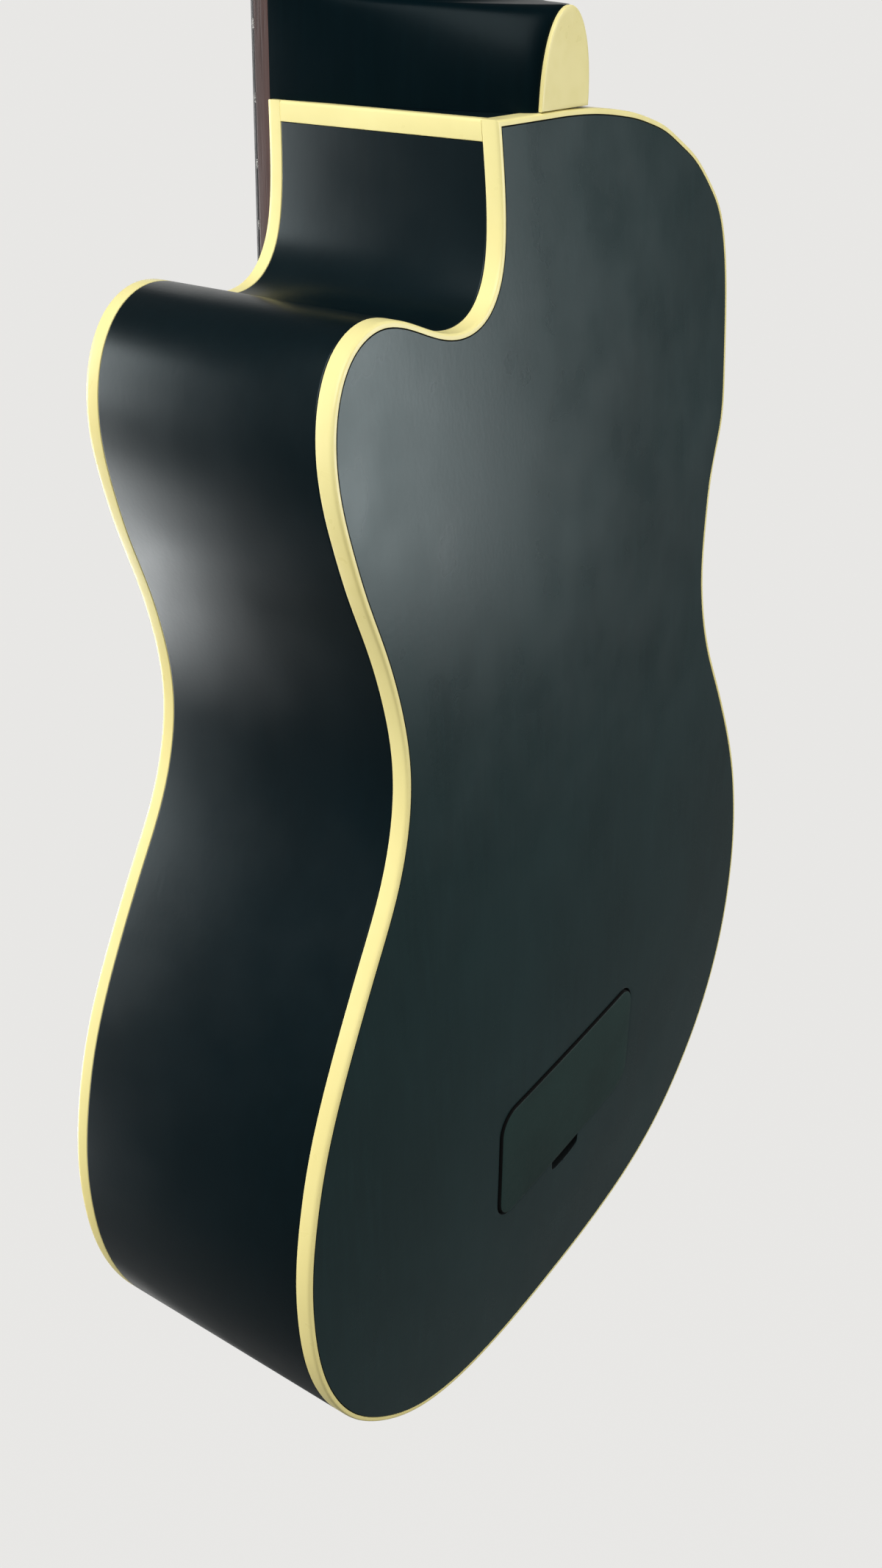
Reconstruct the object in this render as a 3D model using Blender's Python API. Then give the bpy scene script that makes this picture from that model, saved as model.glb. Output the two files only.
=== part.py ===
"""Acoustic bass ukulele with a cutaway, a domed back and open-geared tuning machines.

X runs across the instrument, towards the treble side. Y runs from the soundboard to the back.
Z runs up, from the tail to the headstock. Shapes are drawn with Y = 0 on the soundboard's outer
face and Z = 0 at the tail, under an empty that puts the world's origin where a hanger holds it.
"""

import math

import bmesh
import bpy
import numpy as np
from mathutils import Matrix, Vector

MM = 0.001

# Body
BODY_LENGTH = 355 * MM
LOWER_BOUT = 248 * MM
WAIST = 156 * MM
UPPER_BOUT = 182 * MM
HORN_REACH = 94 * MM
DEPTH_AT_TAIL = 82.4 * MM
DEPTH_AT_NECK = 62.9 * MM
DOME_RADIUS = 2400 * MM
SOUNDBOARD_THICK = 3.0 * MM
BACK_THICK = 2.8 * MM
SIDE_THICK = 2.6 * MM
BINDING_THICK = 1.3 * MM
FRONT_BINDING_HEIGHT = 3.2 * MM
BACK_BINDING_HEIGHT = 4.2 * MM
CORNER_STRIP_WIDTH = 3.5 * MM
LINING_WIDTH = 7 * MM
LINING_HEIGHT = 11 * MM
SOUNDHOLE_RADIUS = 34 * MM
SOUNDHOLE_EDGE = 1.6 * MM
SOUNDHOLE_SIDES = 36
BLOCK_WIDTH = 56 * MM
NECK_BLOCK_LENGTH = 30 * MM
TAIL_BLOCK_LENGTH = 18 * MM
BRACE_WIDTH = 7 * MM
BRACE_HEIGHT = 9 * MM
BRACE_END_GAP = 3 * MM
BRACE_FROM_HOLE = 10 * MM
BRACE_FROM_BLOCK = 24 * MM
BRACE_FROM_FRAME = 36 * MM
SEAT = 0.2 * MM
OUTLINE_TURN = math.radians(10)
OUTLINE_RUN = 18 * MM
DOME_CELL = BODY_LENGTH / 8

# Access panel in the back
PANEL_WIDTH = 79 * MM
PANEL_LENGTH = 39.6 * MM
PANEL_THICK = 2.2 * MM
PANEL_CORNER = 7 * MM
PANEL_CENTRE = 75 * MM
PANEL_CLEARANCE = 0.6 * MM
PANEL_RECESS = 0.5 * MM
NOTCH_WIDTH = 15 * MM
NOTCH_DEPTH = 3.2 * MM
FRAME_RIM = 6 * MM
FRAME_LEDGE = 4 * MM
FRAME_THICK = 3 * MM

# Scale, fingerboard and neck
SCALE_LENGTH = 516 * MM
FRET_COUNT = 16
BODY_FRET = 12
WIDTH_AT_NUT = 46 * MM
WIDTH_AT_BODY = 55.2 * MM
FINGERBOARD_THICK = 4.4 * MM
FRET_WIDTH = 2.2 * MM
FRET_HEIGHT = 0.9 * MM
FINGERBOARD_TAIL = 8 * MM
NUT_LENGTH = 5 * MM
NUT_ABOVE_FRETS = 2.3 * MM
NECK_THICK_NUT = 15.5 * MM
NECK_THICK_BODY = 18 * MM
HEEL_CURVE = 34 * MM
HEEL_CAP_THICK = 1.0 * MM
HEEL_CAP_WIDTH = 24 * MM
HEEL_CAP_LENGTH = 21 * MM
NECK_BOLT_RADIUS = 3 * MM
NECK_BOLT_HEAD = 5.5 * MM
NECK_BOLT_LENGTH = 48 * MM
NECK_BOLT_DEPTH = 29 * MM

# Headstock
HEAD_LENGTH = 140 * MM
HEAD_THICK = 14 * MM
HEAD_WIDTH = 72 * MM
HEAD_TILT = math.radians(11)

# Strings, from the thickest
STRING_RADII = (2.3 * MM, 1.9 * MM, 1.55 * MM, 1.25 * MM)
NUT_SPACING = 11.2 * MM
SADDLE_SPACING = 16.5 * MM
NUT_ACTION = 0.5 * MM
MIDDLE_ACTION = 2.2 * MM
STRING_CLEARANCE = 0.15 * MM
STRING_SIDES = 8
KNOT_RADIUS = 4.2 * MM
WRAPS = 1.6
STEPS_A_WRAP = 10
BREAK_ANGLE = math.radians(31)

# Bridge
BRIDGE_WIDTH = 132 * MM
BRIDGE_RIDGE_HEIGHT = 7 * MM
BRIDGE_REAR_HEIGHT = 3.4 * MM
BRIDGE_FRONT_HEIGHT = 3 * MM
BRIDGE_REAR = 16 * MM
BRIDGE_FRONT = 14 * MM
RIDGE_BEHIND = 3 * MM
RIDGE_AHEAD = 5 * MM
STRING_HOLE_BACK = 10 * MM
SADDLE_WIDTH = 76 * MM
SADDLE_THICK = 3 * MM
SADDLE_EDGE = 0.5 * MM
SADDLE_SLOT_FLOOR = 3.2 * MM
PICKUP_THICK = 1.2 * MM
BRIDGE_PLATE_THICK = 2.5 * MM

# Tuning machines
POST_SPREAD = 23 * MM
LOWER_POST = 42 * MM
UPPER_POST = 96 * MM
POST_RADIUS = 4.2 * MM
POST_SIDES = 10
POST_TOP = 20 * MM
POST_HOLE_RADIUS = 1.6 * MM
WRAP_START = 13.5 * MM
GEAR_TEETH = 14
GEAR_MODULE = 1.0 * MM
GEAR_WIDTH = 3.6 * MM
WORM_RADIUS = 3.2 * MM
WORM_LENGTH = 9.4 * MM
WORM_SIDES = 10
TOOTH_DEPTH = 1.9 * MM
TOOTH_CLEARANCE = 0.12 * MM
SHAFT_RADIUS = 1.8 * MM
RUNNING_GAP = 0.1 * MM
BASE_THICK = 1.3 * MM
BASE_WIDTH = 20 * MM
BASE_BELOW = 6 * MM
BASE_ABOVE = 9.5 * MM
EAR_THICK = 1.8 * MM
EAR_WALL = 1.8 * MM
BUTTON_LENGTH = 17 * MM
BUTTON_RADIUS = 11 * MM
BUTTON_FLATNESS = 0.42
BUSHING_RADIUS = 7.5 * MM
BUSHING_HEIGHT = 2.5 * MM

# Soundhole controls and end jack
WHEEL_RADIUS = 8 * MM
WHEEL_THICK = 3 * MM
WHEEL_SPACING = 19 * MM
WHEEL_AXLE_RADIUS = 1.8 * MM
WHEEL_SIDES = 20
WHEEL_GROOVE = 0.5 * MM
WHEEL_REACH = 1.5 * MM
CIRCUIT_WIDTH = 6 * MM
CIRCUIT_HEIGHT = 9 * MM
CONTROL_THICK = 2 * MM
JACK_BARREL_RADIUS = 6 * MM
JACK_BORE_RADIUS = 3.3 * MM
JACK_FLANGE_RADIUS = 8.5 * MM
JACK_FLANGE_THICK = 2.5 * MM
JACK_COLLAR_LENGTH = 7 * MM
JACK_LENGTH = 34 * MM

# Places along the instrument that follow from the sizes above
NUT_Z = BODY_LENGTH + SCALE_LENGTH * (1 - 2 ** (-BODY_FRET / 12))
SADDLE_Z = NUT_Z - SCALE_LENGTH
FINGERBOARD_END = NUT_Z - SCALE_LENGTH * (1 - 2 ** (-FRET_COUNT / 12)) - FINGERBOARD_TAIL
SOUNDHOLE_Z = FINGERBOARD_END - 6 * MM - SOUNDHOLE_RADIUS
HEAD_Z = NUT_Z + NUT_LENGTH + 2 * SEAT
FRET_TOP = SEAT + FINGERBOARD_THICK + FRET_HEIGHT
NUT_HEIGHT = FRET_TOP + NUT_ABOVE_FRETS
STRING_AT_NUT = FRET_TOP + NUT_ACTION
STRING_AT_SADDLE = FRET_TOP + NUT_ACTION + 2 * (MIDDLE_ACTION - NUT_ACTION)
GEAR_RADIUS = GEAR_MODULE * GEAR_TEETH / 2
WORM_PITCH = math.pi * GEAR_MODULE
WORM_OFFSET = GEAR_RADIUS + WORM_RADIUS
WORM_CREST = WORM_RADIUS + TOOTH_DEPTH / 2
GEAR_PLANE = -HEAD_THICK - SEAT - BASE_THICK - WORM_CREST - 0.4 * MM
HANGER_Y = HEAD_THICK / 2
HANGER_Z = HEAD_Z + 14 * MM

# The outline as shares of a bout's half width and of the body's length, from the tail upwards
LOWER_SHAPE = (
    (0.163, 0.0007), (0.325, 0.0043), (0.50, 0.0155), (0.643, 0.0358), (0.771, 0.0682), (0.876, 0.1088),
    (0.946, 0.1539), (0.985, 0.1997), (1.0, 0.2450), (0.998, 0.2901), (0.976, 0.3376), (0.939, 0.3833),
    (0.890, 0.4239), (0.825, 0.4670), (0.756, 0.5082),
)
WAIST_SHAPE = ((1.097, 0.5479), (1.03, 0.5855), (1.0, 0.6272), (1.02, 0.6718), (1.075, 0.7169))
HORN_SHAPE = (
    (0.941, 0.7536), (0.974, 0.7848), (0.997, 0.8156), (0.999, 0.8433), (0.970, 0.8731), (0.904, 0.8959),
    (0.80, 0.9063), (0.686, 0.9008), (0.58, 0.8907), (0.482, 0.8876), (0.40, 0.8944),
    (0.3425, 0.9113), (0.314, 0.9355), (0.3045, 0.9678),
)
CORNER_SHARE = 0.3043
SHOULDER_SHAPE = (
    (0.975, 0.7452), (0.995, 0.7868), (0.999, 0.8314), (0.986, 0.8820), (0.939, 0.9147), (0.869, 0.9341),
    (0.763, 0.9552), (0.662, 0.9683), (0.566, 0.9792), (0.473, 0.9861), (0.386, 0.9911),
    (0.299, 0.9945), (0.15, 0.9985),
)


def clear_scene():
    for old in list(bpy.data.objects):
        bpy.data.objects.remove(old, do_unlink=True)


def material(name, colour, roughness, metallic=0.0):
    made = bpy.data.materials.get(name)
    if made is None:
        made = bpy.data.materials.new(name)
        made.use_nodes = True
        shader = made.node_tree.nodes["Principled BSDF"]
        shader.inputs["Base Color"].default_value = (*colour, 1.0)
        shader.inputs["Roughness"].default_value = roughness
        shader.inputs["Metallic"].default_value = metallic
    return made


def satin_black():
    return material("satin_black_lacquer", (0.014, 0.017, 0.018), 0.42)


def ivory():
    return material("ivory_binding", (0.86, 0.74, 0.38), 0.32)


def rosewood():
    return material("rosewood", (0.075, 0.032, 0.020), 0.55)


def plain_wood():
    return material("bare_mahogany", (0.36, 0.20, 0.11), 0.75)


def spruce():
    return material("bare_spruce", (0.62, 0.45, 0.26), 0.75)


def black_metal():
    return material("black_plated_metal", (0.02, 0.02, 0.022), 0.28, 1.0)


def steel():
    return material("steel", (0.55, 0.55, 0.56), 0.25, 1.0)


def bone():
    return material("bone", (0.85, 0.80, 0.68), 0.35)


def black_plastic():
    return material("black_plastic", (0.018, 0.020, 0.020), 0.45)


def string_plastic():
    return material("string_polyurethane", (0.03, 0.03, 0.03), 0.5)


def pickup_foil():
    return material("pickup_foil", (0.60, 0.40, 0.22), 0.35, 1.0)


def place(name, mesh, surface, parent, location=(0, 0, 0)):
    made = bpy.data.objects.new(name, mesh)
    bpy.context.scene.collection.objects.link(made)
    made.parent = parent
    made.location = location
    if surface and not mesh.materials:
        mesh.materials.append(surface)
    return made


def finish_mesh(bm, name):
    bmesh.ops.recalc_face_normals(bm, faces=bm.faces)
    if bm.calc_volume(signed=True) < 0:
        bmesh.ops.reverse_faces(bm, faces=bm.faces)
    mesh = bpy.data.meshes.new(name)
    bm.to_mesh(mesh)
    bm.free()
    return mesh


def loft_mesh(name, rings, closed=False):
    """One body through rings of as many points each, with its ends filled, or closed into a loop."""
    bm = bmesh.new()
    rows = [[bm.verts.new(point) for point in ring] for ring in rings]
    count = len(rows[0])
    following = rows[1:] + rows[:1] if closed else rows[1:]
    for here, there in zip(rows, following):
        for i in range(count):
            j = (i + 1) % count
            bm.faces.new((here[i], here[j], there[j], there[i]))
    if not closed:
        bm.faces.new(reversed(rows[0]))
        bm.faces.new(rows[-1])
    return finish_mesh(bm, name)


def turned_mesh(name, profile, sides, centre=(0, 0, 0), axis="Z"):
    """A body turned about an axis from (radius, height) pairs. A ring at radius 0 is one point."""
    bm = bmesh.new()
    rows = []
    for radius, height in profile:
        ring = []
        for k in range(sides if radius > 0 else 1):
            angle = 2 * math.pi * (k + 0.5) / sides
            across, up = radius * math.cos(angle), radius * math.sin(angle)
            point = (across, up, height) if axis == "Z" else (up, height, across)
            ring.append(bm.verts.new([a + b for a, b in zip(centre, point)]))
        rows.append(ring)
    for here, there in zip(rows, rows[1:]):
        for k in range(sides):
            j = (k + 1) % sides
            near, far = len(here), len(there)
            corners = [here[k % near], here[j % near], there[j % far], there[k % far]]
            bm.faces.new(list(dict.fromkeys(corners)))
    for end in (rows[0], rows[-1]):
        if len(end) > 1:
            bm.faces.new(end)
    return finish_mesh(bm, name)


def ring_mesh(name, sides, section, groove=0.0):
    """A ring about Z from (radius, height) pairs. A groove is cut into every other flat of its rim."""
    rim = max(radius for radius, height in section)
    rings = []
    for k in range(sides):
        angle = 2 * math.pi * (k + 0.5) / sides
        ring = []
        for radius, height in section:
            reach = radius - groove if radius == rim and k % 2 else radius
            ring.append((reach * math.cos(angle), reach * math.sin(angle), height))
        rings.append(ring)
    return loft_mesh(name, rings, closed=True)


def tube_mesh(name, points, radii, sides):
    """A round bar along a path, with a radius at each point and its turning kept to a minimum."""
    points = [Vector(point) for point in points]
    side = None
    rings = []
    for i, point in enumerate(points):
        ahead = (points[min(i + 1, len(points) - 1)] - points[max(i - 1, 0)]).normalized()
        if side is None:
            side = ahead.orthogonal()
        side = (side - ahead * side.dot(ahead)).normalized()
        up = ahead.cross(side)
        ring = []
        for k in range(sides):
            angle = 2 * math.pi * k / sides
            ring.append(point + radii[i] * (math.cos(angle) * side + math.sin(angle) * up))
        rings.append(ring)
    return loft_mesh(name, rings)


def box_mesh(name, low, high):
    rings = [
        [(x, low[1], low[2]), (x, high[1], low[2]), (x, high[1], high[2]), (x, low[1], high[2])]
        for x in (low[0], high[0])
    ]
    return loft_mesh(name, rings)


def carve(body, meshes, operation="DIFFERENCE"):
    """Cuts the meshes from the body, or joins them to it, in the body's own coordinates."""
    helpers = []
    for mesh in meshes:
        helper = place("cutter", mesh, None, body.parent, body.location)
        helper.rotation_euler = body.rotation_euler
        step = body.modifiers.new("carve", "BOOLEAN")
        step.object = helper
        step.operation = operation
        step.solver = "EXACT"
        helpers.append(helper)
    bpy.context.view_layer.update()
    graph = bpy.context.evaluated_depsgraph_get()
    carved = bpy.data.meshes.new_from_object(body.evaluated_get(graph))
    surface = body.data.materials[0] if body.data.materials else None
    body.modifiers.clear()
    body.data = carved
    carved.materials.clear()
    carved.materials.append(surface)
    for helper in helpers:
        bpy.data.objects.remove(helper, do_unlink=True)
    return body


def round_smooth(body, angle=35):
    body.data.shade_smooth()
    body.data.set_sharp_from_angle(angle=math.radians(angle))


def spline(points, steps):
    """Points on a natural cubic curve through the given ones, with its parameter along the chords."""
    points = np.array(points)
    chord = np.concatenate([[0], np.cumsum(np.linalg.norm(np.diff(points, axis=0), axis=1))])
    h = np.diff(chord)
    count = len(points)
    system = np.eye(count)
    right = np.zeros((count, 2))
    for i in range(1, count - 1):
        system[i, i - 1: i + 2] = h[i - 1], 2 * (h[i - 1] + h[i]), h[i]
        right[i] = 6 * ((points[i + 1] - points[i]) / h[i] - (points[i] - points[i - 1]) / h[i - 1])
    bend = np.linalg.solve(system, right)
    made = []
    for i in range(count - 1):
        for t in np.arange(steps) / steps * h[i]:
            s = h[i] - t
            value = (bend[i] * s**3 + bend[i + 1] * t**3) / (6 * h[i])
            value += (points[i] / h[i] - bend[i] * h[i] / 6) * s
            value += (points[i + 1] / h[i] - bend[i + 1] * h[i] / 6) * t
            made.append(value)
    return np.array(made + [points[-1]])


def thin_out(points, keep):
    """Leaves out points that the curve doesn't need. Those nearest to the kept ones stay."""
    kept = [0]
    pinned = {int(np.linalg.norm(points - corner, axis=1).argmin()) for corner in keep}
    turned = 0.0
    for i in range(1, len(points) - 1):
        before, after = points[i] - points[i - 1], points[i + 1] - points[i]
        turned += abs(math.atan2(before[0] * after[1] - before[1] * after[0], before @ after))
        far = np.linalg.norm(points[i] - points[kept[-1]]) > OUTLINE_RUN
        if turned > OUTLINE_TURN or far or i in pinned:
            kept.append(i)
            turned = 0.0
    return points[kept + [len(points) - 1]]


def body_outline():
    """The body's outline in X and Z, from the cutaway's corner down the treble side and back up."""
    lower = [(across * LOWER_BOUT / 2, along * BODY_LENGTH) for across, along in LOWER_SHAPE]
    lower += [(across * WAIST / 2, along * BODY_LENGTH) for across, along in WAIST_SHAPE]
    horn = [(across * HORN_REACH, along * BODY_LENGTH) for across, along in HORN_SHAPE]
    shoulder = [(across * UPPER_BOUT / 2, along * BODY_LENGTH) for across, along in SHOULDER_SHAPE]
    corner = [(CORNER_SHARE * HORN_REACH, BODY_LENGTH)]
    treble = corner + horn[::-1] + lower[::-1]
    bass = [(-x, z) for x, z in lower + shoulder]
    curve = spline(treble + [(0.0, 0.0)] + bass + [(0.0, BODY_LENGTH)], 12)
    return thin_out(curve, [np.zeros(2)])


def inset(points, distance, closed=True):
    """The outline moved inwards. It runs clockwise, so inwards is to the right of its run."""
    steps = np.roll(points, -1, axis=0) - points
    steps /= np.linalg.norm(steps, axis=1)[:, None]
    after = np.stack([steps[:, 1], -steps[:, 0]], axis=1)
    before = np.roll(after, 1, axis=0)
    if not closed:
        before[0], after[-1] = after[0], before[-1]
    middle = before + after
    middle /= np.linalg.norm(middle, axis=1)[:, None]
    return points + distance * middle / (middle * after).sum(axis=1)[:, None]


def trimmed(points, from_start, from_end):
    """An open run of the outline, shortened at its ends by these lengths."""
    run = np.concatenate([[0], np.cumsum(np.linalg.norm(np.diff(points, axis=0), axis=1))])
    ends = [from_start, run[-1] - from_end]
    inner = points[(run > ends[0] + 1e-4) & (run < ends[1] - 1e-4)]
    ends = [[np.interp(end, run, points[:, axis]) for axis in (0, 1)] for end in ends]
    return np.vstack([ends[:1], inner, ends[1:]])


def edge_at(outline, z, side):
    """How far the outline reaches from the middle at a height, on the side of that sign."""
    following = np.roll(outline, -1, axis=0)
    reach = []
    for (x1, z1), (x2, z2) in zip(outline, following):
        if (z1 - z) * (z2 - z) <= 0 and z1 != z2:
            x = x1 + (x2 - x1) * (z - z1) / (z2 - z1)
            if x * side > 0:
                reach.append(abs(x))
    return max(reach)


def square_by_cells(value):
    """The square of a length, straight between whole dome cells, so that each cell's face is flat."""
    nodes = DOME_CELL * np.arange(-4, 10)
    return np.interp(value, nodes, nodes**2)


def back_depth(x, z):
    """Depth of the back's outer face below the soundboard's: a sloping plane with a dome on it."""
    sloping = DEPTH_AT_TAIL + (DEPTH_AT_NECK - DEPTH_AT_TAIL) * z / BODY_LENGTH
    dome = BODY_LENGTH * z - square_by_cells(z) - square_by_cells(x)
    return sloping + dome / (2 * DOME_RADIUS)


def from_front(depth):
    return lambda x, z: depth + 0 * x


def from_back(depth):
    return lambda x, z: back_depth(x, z) - depth


def strip_mesh(name, run, section, closed):
    """A strip along the outline: its section gives an inset and a depth for each of its corners."""
    columns = []
    for distance, depth in section:
        at = inset(run, distance, closed)
        columns.append(np.stack([at[:, 0], depth(at[:, 0], at[:, 1]), at[:, 1]], axis=1))
    return loft_mesh(name, np.stack(columns, axis=1), closed)


def plate_mesh(name, polygon, near, far, domed=False, levels=()):
    """A plate of this outline between two depths. Its faces are cut at the given heights, and those
    of a domed one also where the dome's cells meet."""
    bm = bmesh.new()
    lower = [bm.verts.new((x, 0, z)) for x, z in polygon]
    upper = [bm.verts.new((x, 1, z)) for x, z in polygon]
    count = len(lower)
    bm.faces.new(lower)
    bm.faces.new(upper)
    for i in range(count):
        j = (i + 1) % count
        bm.faces.new((lower[i], lower[j], upper[j], upper[i]))
    up, across = Vector((0, 0, 1)), Vector((1, 0, 0))
    cuts = [(up, level) for level in levels]
    if domed:
        cuts += [(normal, cell * DOME_CELL) for normal in (up, across) for cell in range(-2, 8)]
    for normal, at in cuts:
        everything = list(bm.verts) + list(bm.edges) + list(bm.faces)
        bmesh.ops.bisect_plane(bm, geom=everything, dist=2e-5, plane_co=at * normal, plane_no=normal)
    for vertex in bm.verts:
        depth = near if vertex.co.y < 0.5 else far
        vertex.co.y = depth(vertex.co.x, vertex.co.z)
    return finish_mesh(bm, name)


def rectangle(across, along):
    return [
        (across[0], along[0]), (across[1], along[0]), (across[1], along[1]), (across[0], along[1]),
    ]


def rounded_rectangle(width, length, corner, centre_z, steps=5):
    points = []
    for quarter in range(4):
        sign_x, sign_z = ((1, 1), (-1, 1), (-1, -1), (1, -1))[quarter]
        middle = (sign_x * (width / 2 - corner), centre_z + sign_z * (length / 2 - corner))
        for step in range(steps + 1):
            angle = math.pi / 2 * (quarter + step / steps)
            points.append((middle[0] + corner * math.cos(angle), middle[1] + corner * math.sin(angle)))
    return points


def string_x(index, spacing):
    return (index - 1.5) * spacing


def string_height(radius, z):
    """Height of a string's middle above the soundboard, on its straight run."""
    share = (z - SADDLE_Z) / SCALE_LENGTH
    under = STRING_AT_SADDLE + (STRING_AT_NUT - STRING_AT_SADDLE) * share
    return under + STRING_CLEARANCE + radius


def soundboard(outline, parent):
    """The soundboard. Its faces are cut through the middles of its holes, so none lies inside a face."""
    face = inset(outline, BINDING_THICK + SEAT)
    middles = (SOUNDHOLE_Z, SADDLE_Z - STRING_HOLE_BACK)
    near, far = from_front(0), from_front(SOUNDBOARD_THICK)
    mesh = plate_mesh("soundboard", face, near, far, levels=middles)
    body = place("soundboard", mesh, satin_black(), parent)
    reach = 5 * MM
    hole = [(SOUNDHOLE_RADIUS, -reach), (SOUNDHOLE_RADIUS, SOUNDBOARD_THICK + reach)]
    cutters = [turned_mesh("hole", hole, SOUNDHOLE_SIDES, (0, 0, SOUNDHOLE_Z), "Y")]
    carve(body, cutters + string_holes(-reach, SOUNDBOARD_THICK + reach))


def string_holes(low, high):
    cutters = []
    for index, radius in enumerate(STRING_RADII):
        at = (string_x(index, SADDLE_SPACING), 0, SADDLE_Z - STRING_HOLE_BACK)
        profile = [(radius + 0.5 * MM, low), (radius + 0.5 * MM, high)]
        cutters.append(turned_mesh("string_hole", profile, STRING_SIDES, at, "Y"))
    return cutters


def back_plate(outline, parent):
    face = inset(outline, BINDING_THICK + SEAT)
    mesh = plate_mesh("back_plate", face, from_back(BACK_THICK), from_back(0), domed=True)
    body = place("back_plate", mesh, satin_black(), parent)
    gap = 2 * PANEL_CLEARANCE
    size = (PANEL_WIDTH + gap, PANEL_LENGTH + gap)
    opening = rounded_rectangle(*size, PANEL_CORNER + PANEL_CLEARANCE, PANEL_CENTRE)
    near, far = from_back(BACK_THICK + 4 * MM), from_back(-4 * MM)
    carve(body, [plate_mesh("opening", opening, near, far), notch_mesh(near, far, MM)])


def notch_mesh(near, far, overlap):
    """A half-round notch below the panel's edge, by which a fingertip lifts the panel."""
    edge = PANEL_CENTRE - PANEL_LENGTH / 2 - PANEL_CLEARANCE
    half = NOTCH_WIDTH / 2
    polygon = [(half, edge + overlap), (-half, edge + overlap)]
    for step in range(7):
        angle = math.pi * step / 6
        polygon.append((-half * math.cos(angle), edge - NOTCH_DEPTH * math.sin(angle)))
    return plate_mesh("notch", polygon, near, far)


def side_section():
    front, back = from_front, from_back
    rebate = BINDING_THICK + SEAT
    return [
        (0, front(FRONT_BINDING_HEIGHT + SEAT)), (rebate, front(FRONT_BINDING_HEIGHT + SEAT)),
        (rebate, front(SOUNDBOARD_THICK + SEAT)), (SIDE_THICK, front(SOUNDBOARD_THICK + SEAT)),
        (SIDE_THICK, back(BACK_THICK + SEAT)), (rebate, back(BACK_THICK + SEAT)),
        (rebate, back(BACK_BINDING_HEIGHT + SEAT)), (0, back(BACK_BINDING_HEIGHT + SEAT)),
    ]


def halves(outline):
    """The treble run, from the cutaway's corner to the tail, and the bass run, from there back up."""
    tail = int(np.abs(outline).sum(axis=1).argmin())
    return outline[: tail + 1], np.vstack([outline[tail:], outline[:1]])


def sides(outline, parent):
    treble, bass = halves(outline)
    treble = trimmed(treble, CORNER_STRIP_WIDTH + SEAT, SEAT / 2)
    bass = trimmed(bass, SEAT / 2, SIDE_THICK + SEAT)
    for name, run in (("treble_side", treble), ("bass_side", bass)):
        place(name, strip_mesh(name, run, side_section(), False), satin_black(), parent)


def bindings(outline, parent):
    rows = (
        ("front_binding", from_front, FRONT_BINDING_HEIGHT),
        ("back_binding", from_back, BACK_BINDING_HEIGHT),
    )
    for name, depth, height in rows:
        section = [(0, depth(0)), (BINDING_THICK, depth(0))]
        section += [(BINDING_THICK, depth(height)), (0, depth(height))]
        place(name, strip_mesh(name, outline, section, True), ivory(), parent)


def corner_strip(outline, parent):
    """The cream strip that ends the cutaway's wall where it meets the neck."""
    edge = outline[0, 0]
    across = (edge - SIDE_THICK, edge)
    along = (BODY_LENGTH - CORNER_STRIP_WIDTH, BODY_LENGTH)
    polygon = rectangle(across, along)
    near, far = from_front(FRONT_BINDING_HEIGHT + SEAT), from_back(BACK_BINDING_HEIGHT + SEAT)
    mesh = plate_mesh("corner_strip", polygon, near, far)
    place("corner_strip", mesh, ivory(), parent)


def linings(outline, parent):
    treble, bass = halves(outline)
    past_tail_block = BLOCK_WIDTH / 2 + 3 * MM
    past_neck_block = NECK_BLOCK_LENGTH + 8 * MM
    wide_shoulder = BLOCK_WIDTH / 2 + CORNER_SHARE * HORN_REACH + 6 * MM
    runs = {
        "treble": trimmed(treble, past_neck_block, past_tail_block),
        "bass": trimmed(bass, past_tail_block, wide_shoulder),
    }
    inner = SIDE_THICK + SEAT
    plates = (("front", from_front, SOUNDBOARD_THICK), ("back", from_back, BACK_THICK))
    for plate, depth, thick in plates:
        start = thick + SEAT
        section = [(inner, depth(start)), (inner + LINING_WIDTH, depth(start))]
        section += [(inner, depth(start + LINING_HEIGHT))]
        for side, run in runs.items():
            name = f"{plate}_lining_{side}"
            place(name, strip_mesh(name, run, section, False), plain_wood(), parent)


def blocks(outline, parent):
    """The neck block and the tail block, between the soundboard and the back."""
    near, far = from_front(SOUNDBOARD_THICK + SEAT), from_back(BACK_THICK + SEAT)
    inner = inset(outline, SIDE_THICK + SEAT)
    middle = inner[0, 0] - BLOCK_WIDTH / 2
    rows = (
        ("neck_block", middle, 1, BODY_LENGTH - SIDE_THICK - NECK_BLOCK_LENGTH, neck_bolt_cutter()),
        ("tail_block", 0.0, -1, SIDE_THICK + TAIL_BLOCK_LENGTH, jack_cutter()),
    )
    for name, centre, upwards, face, cutter in rows:
        chosen = np.abs(inner[:, 0] - centre) < BLOCK_WIDTH / 2 + 0.1 * MM
        chosen &= (inner[:, 1] - BODY_LENGTH / 2) * upwards > 0
        edge = sorted(map(tuple, inner[chosen]))
        polygon = edge + [(edge[-1][0], face), (edge[0][0], face)]
        body = place(name, plate_mesh(name, polygon, near, far, domed=True), plain_wood(), parent)
        carve(body, [cutter])


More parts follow.
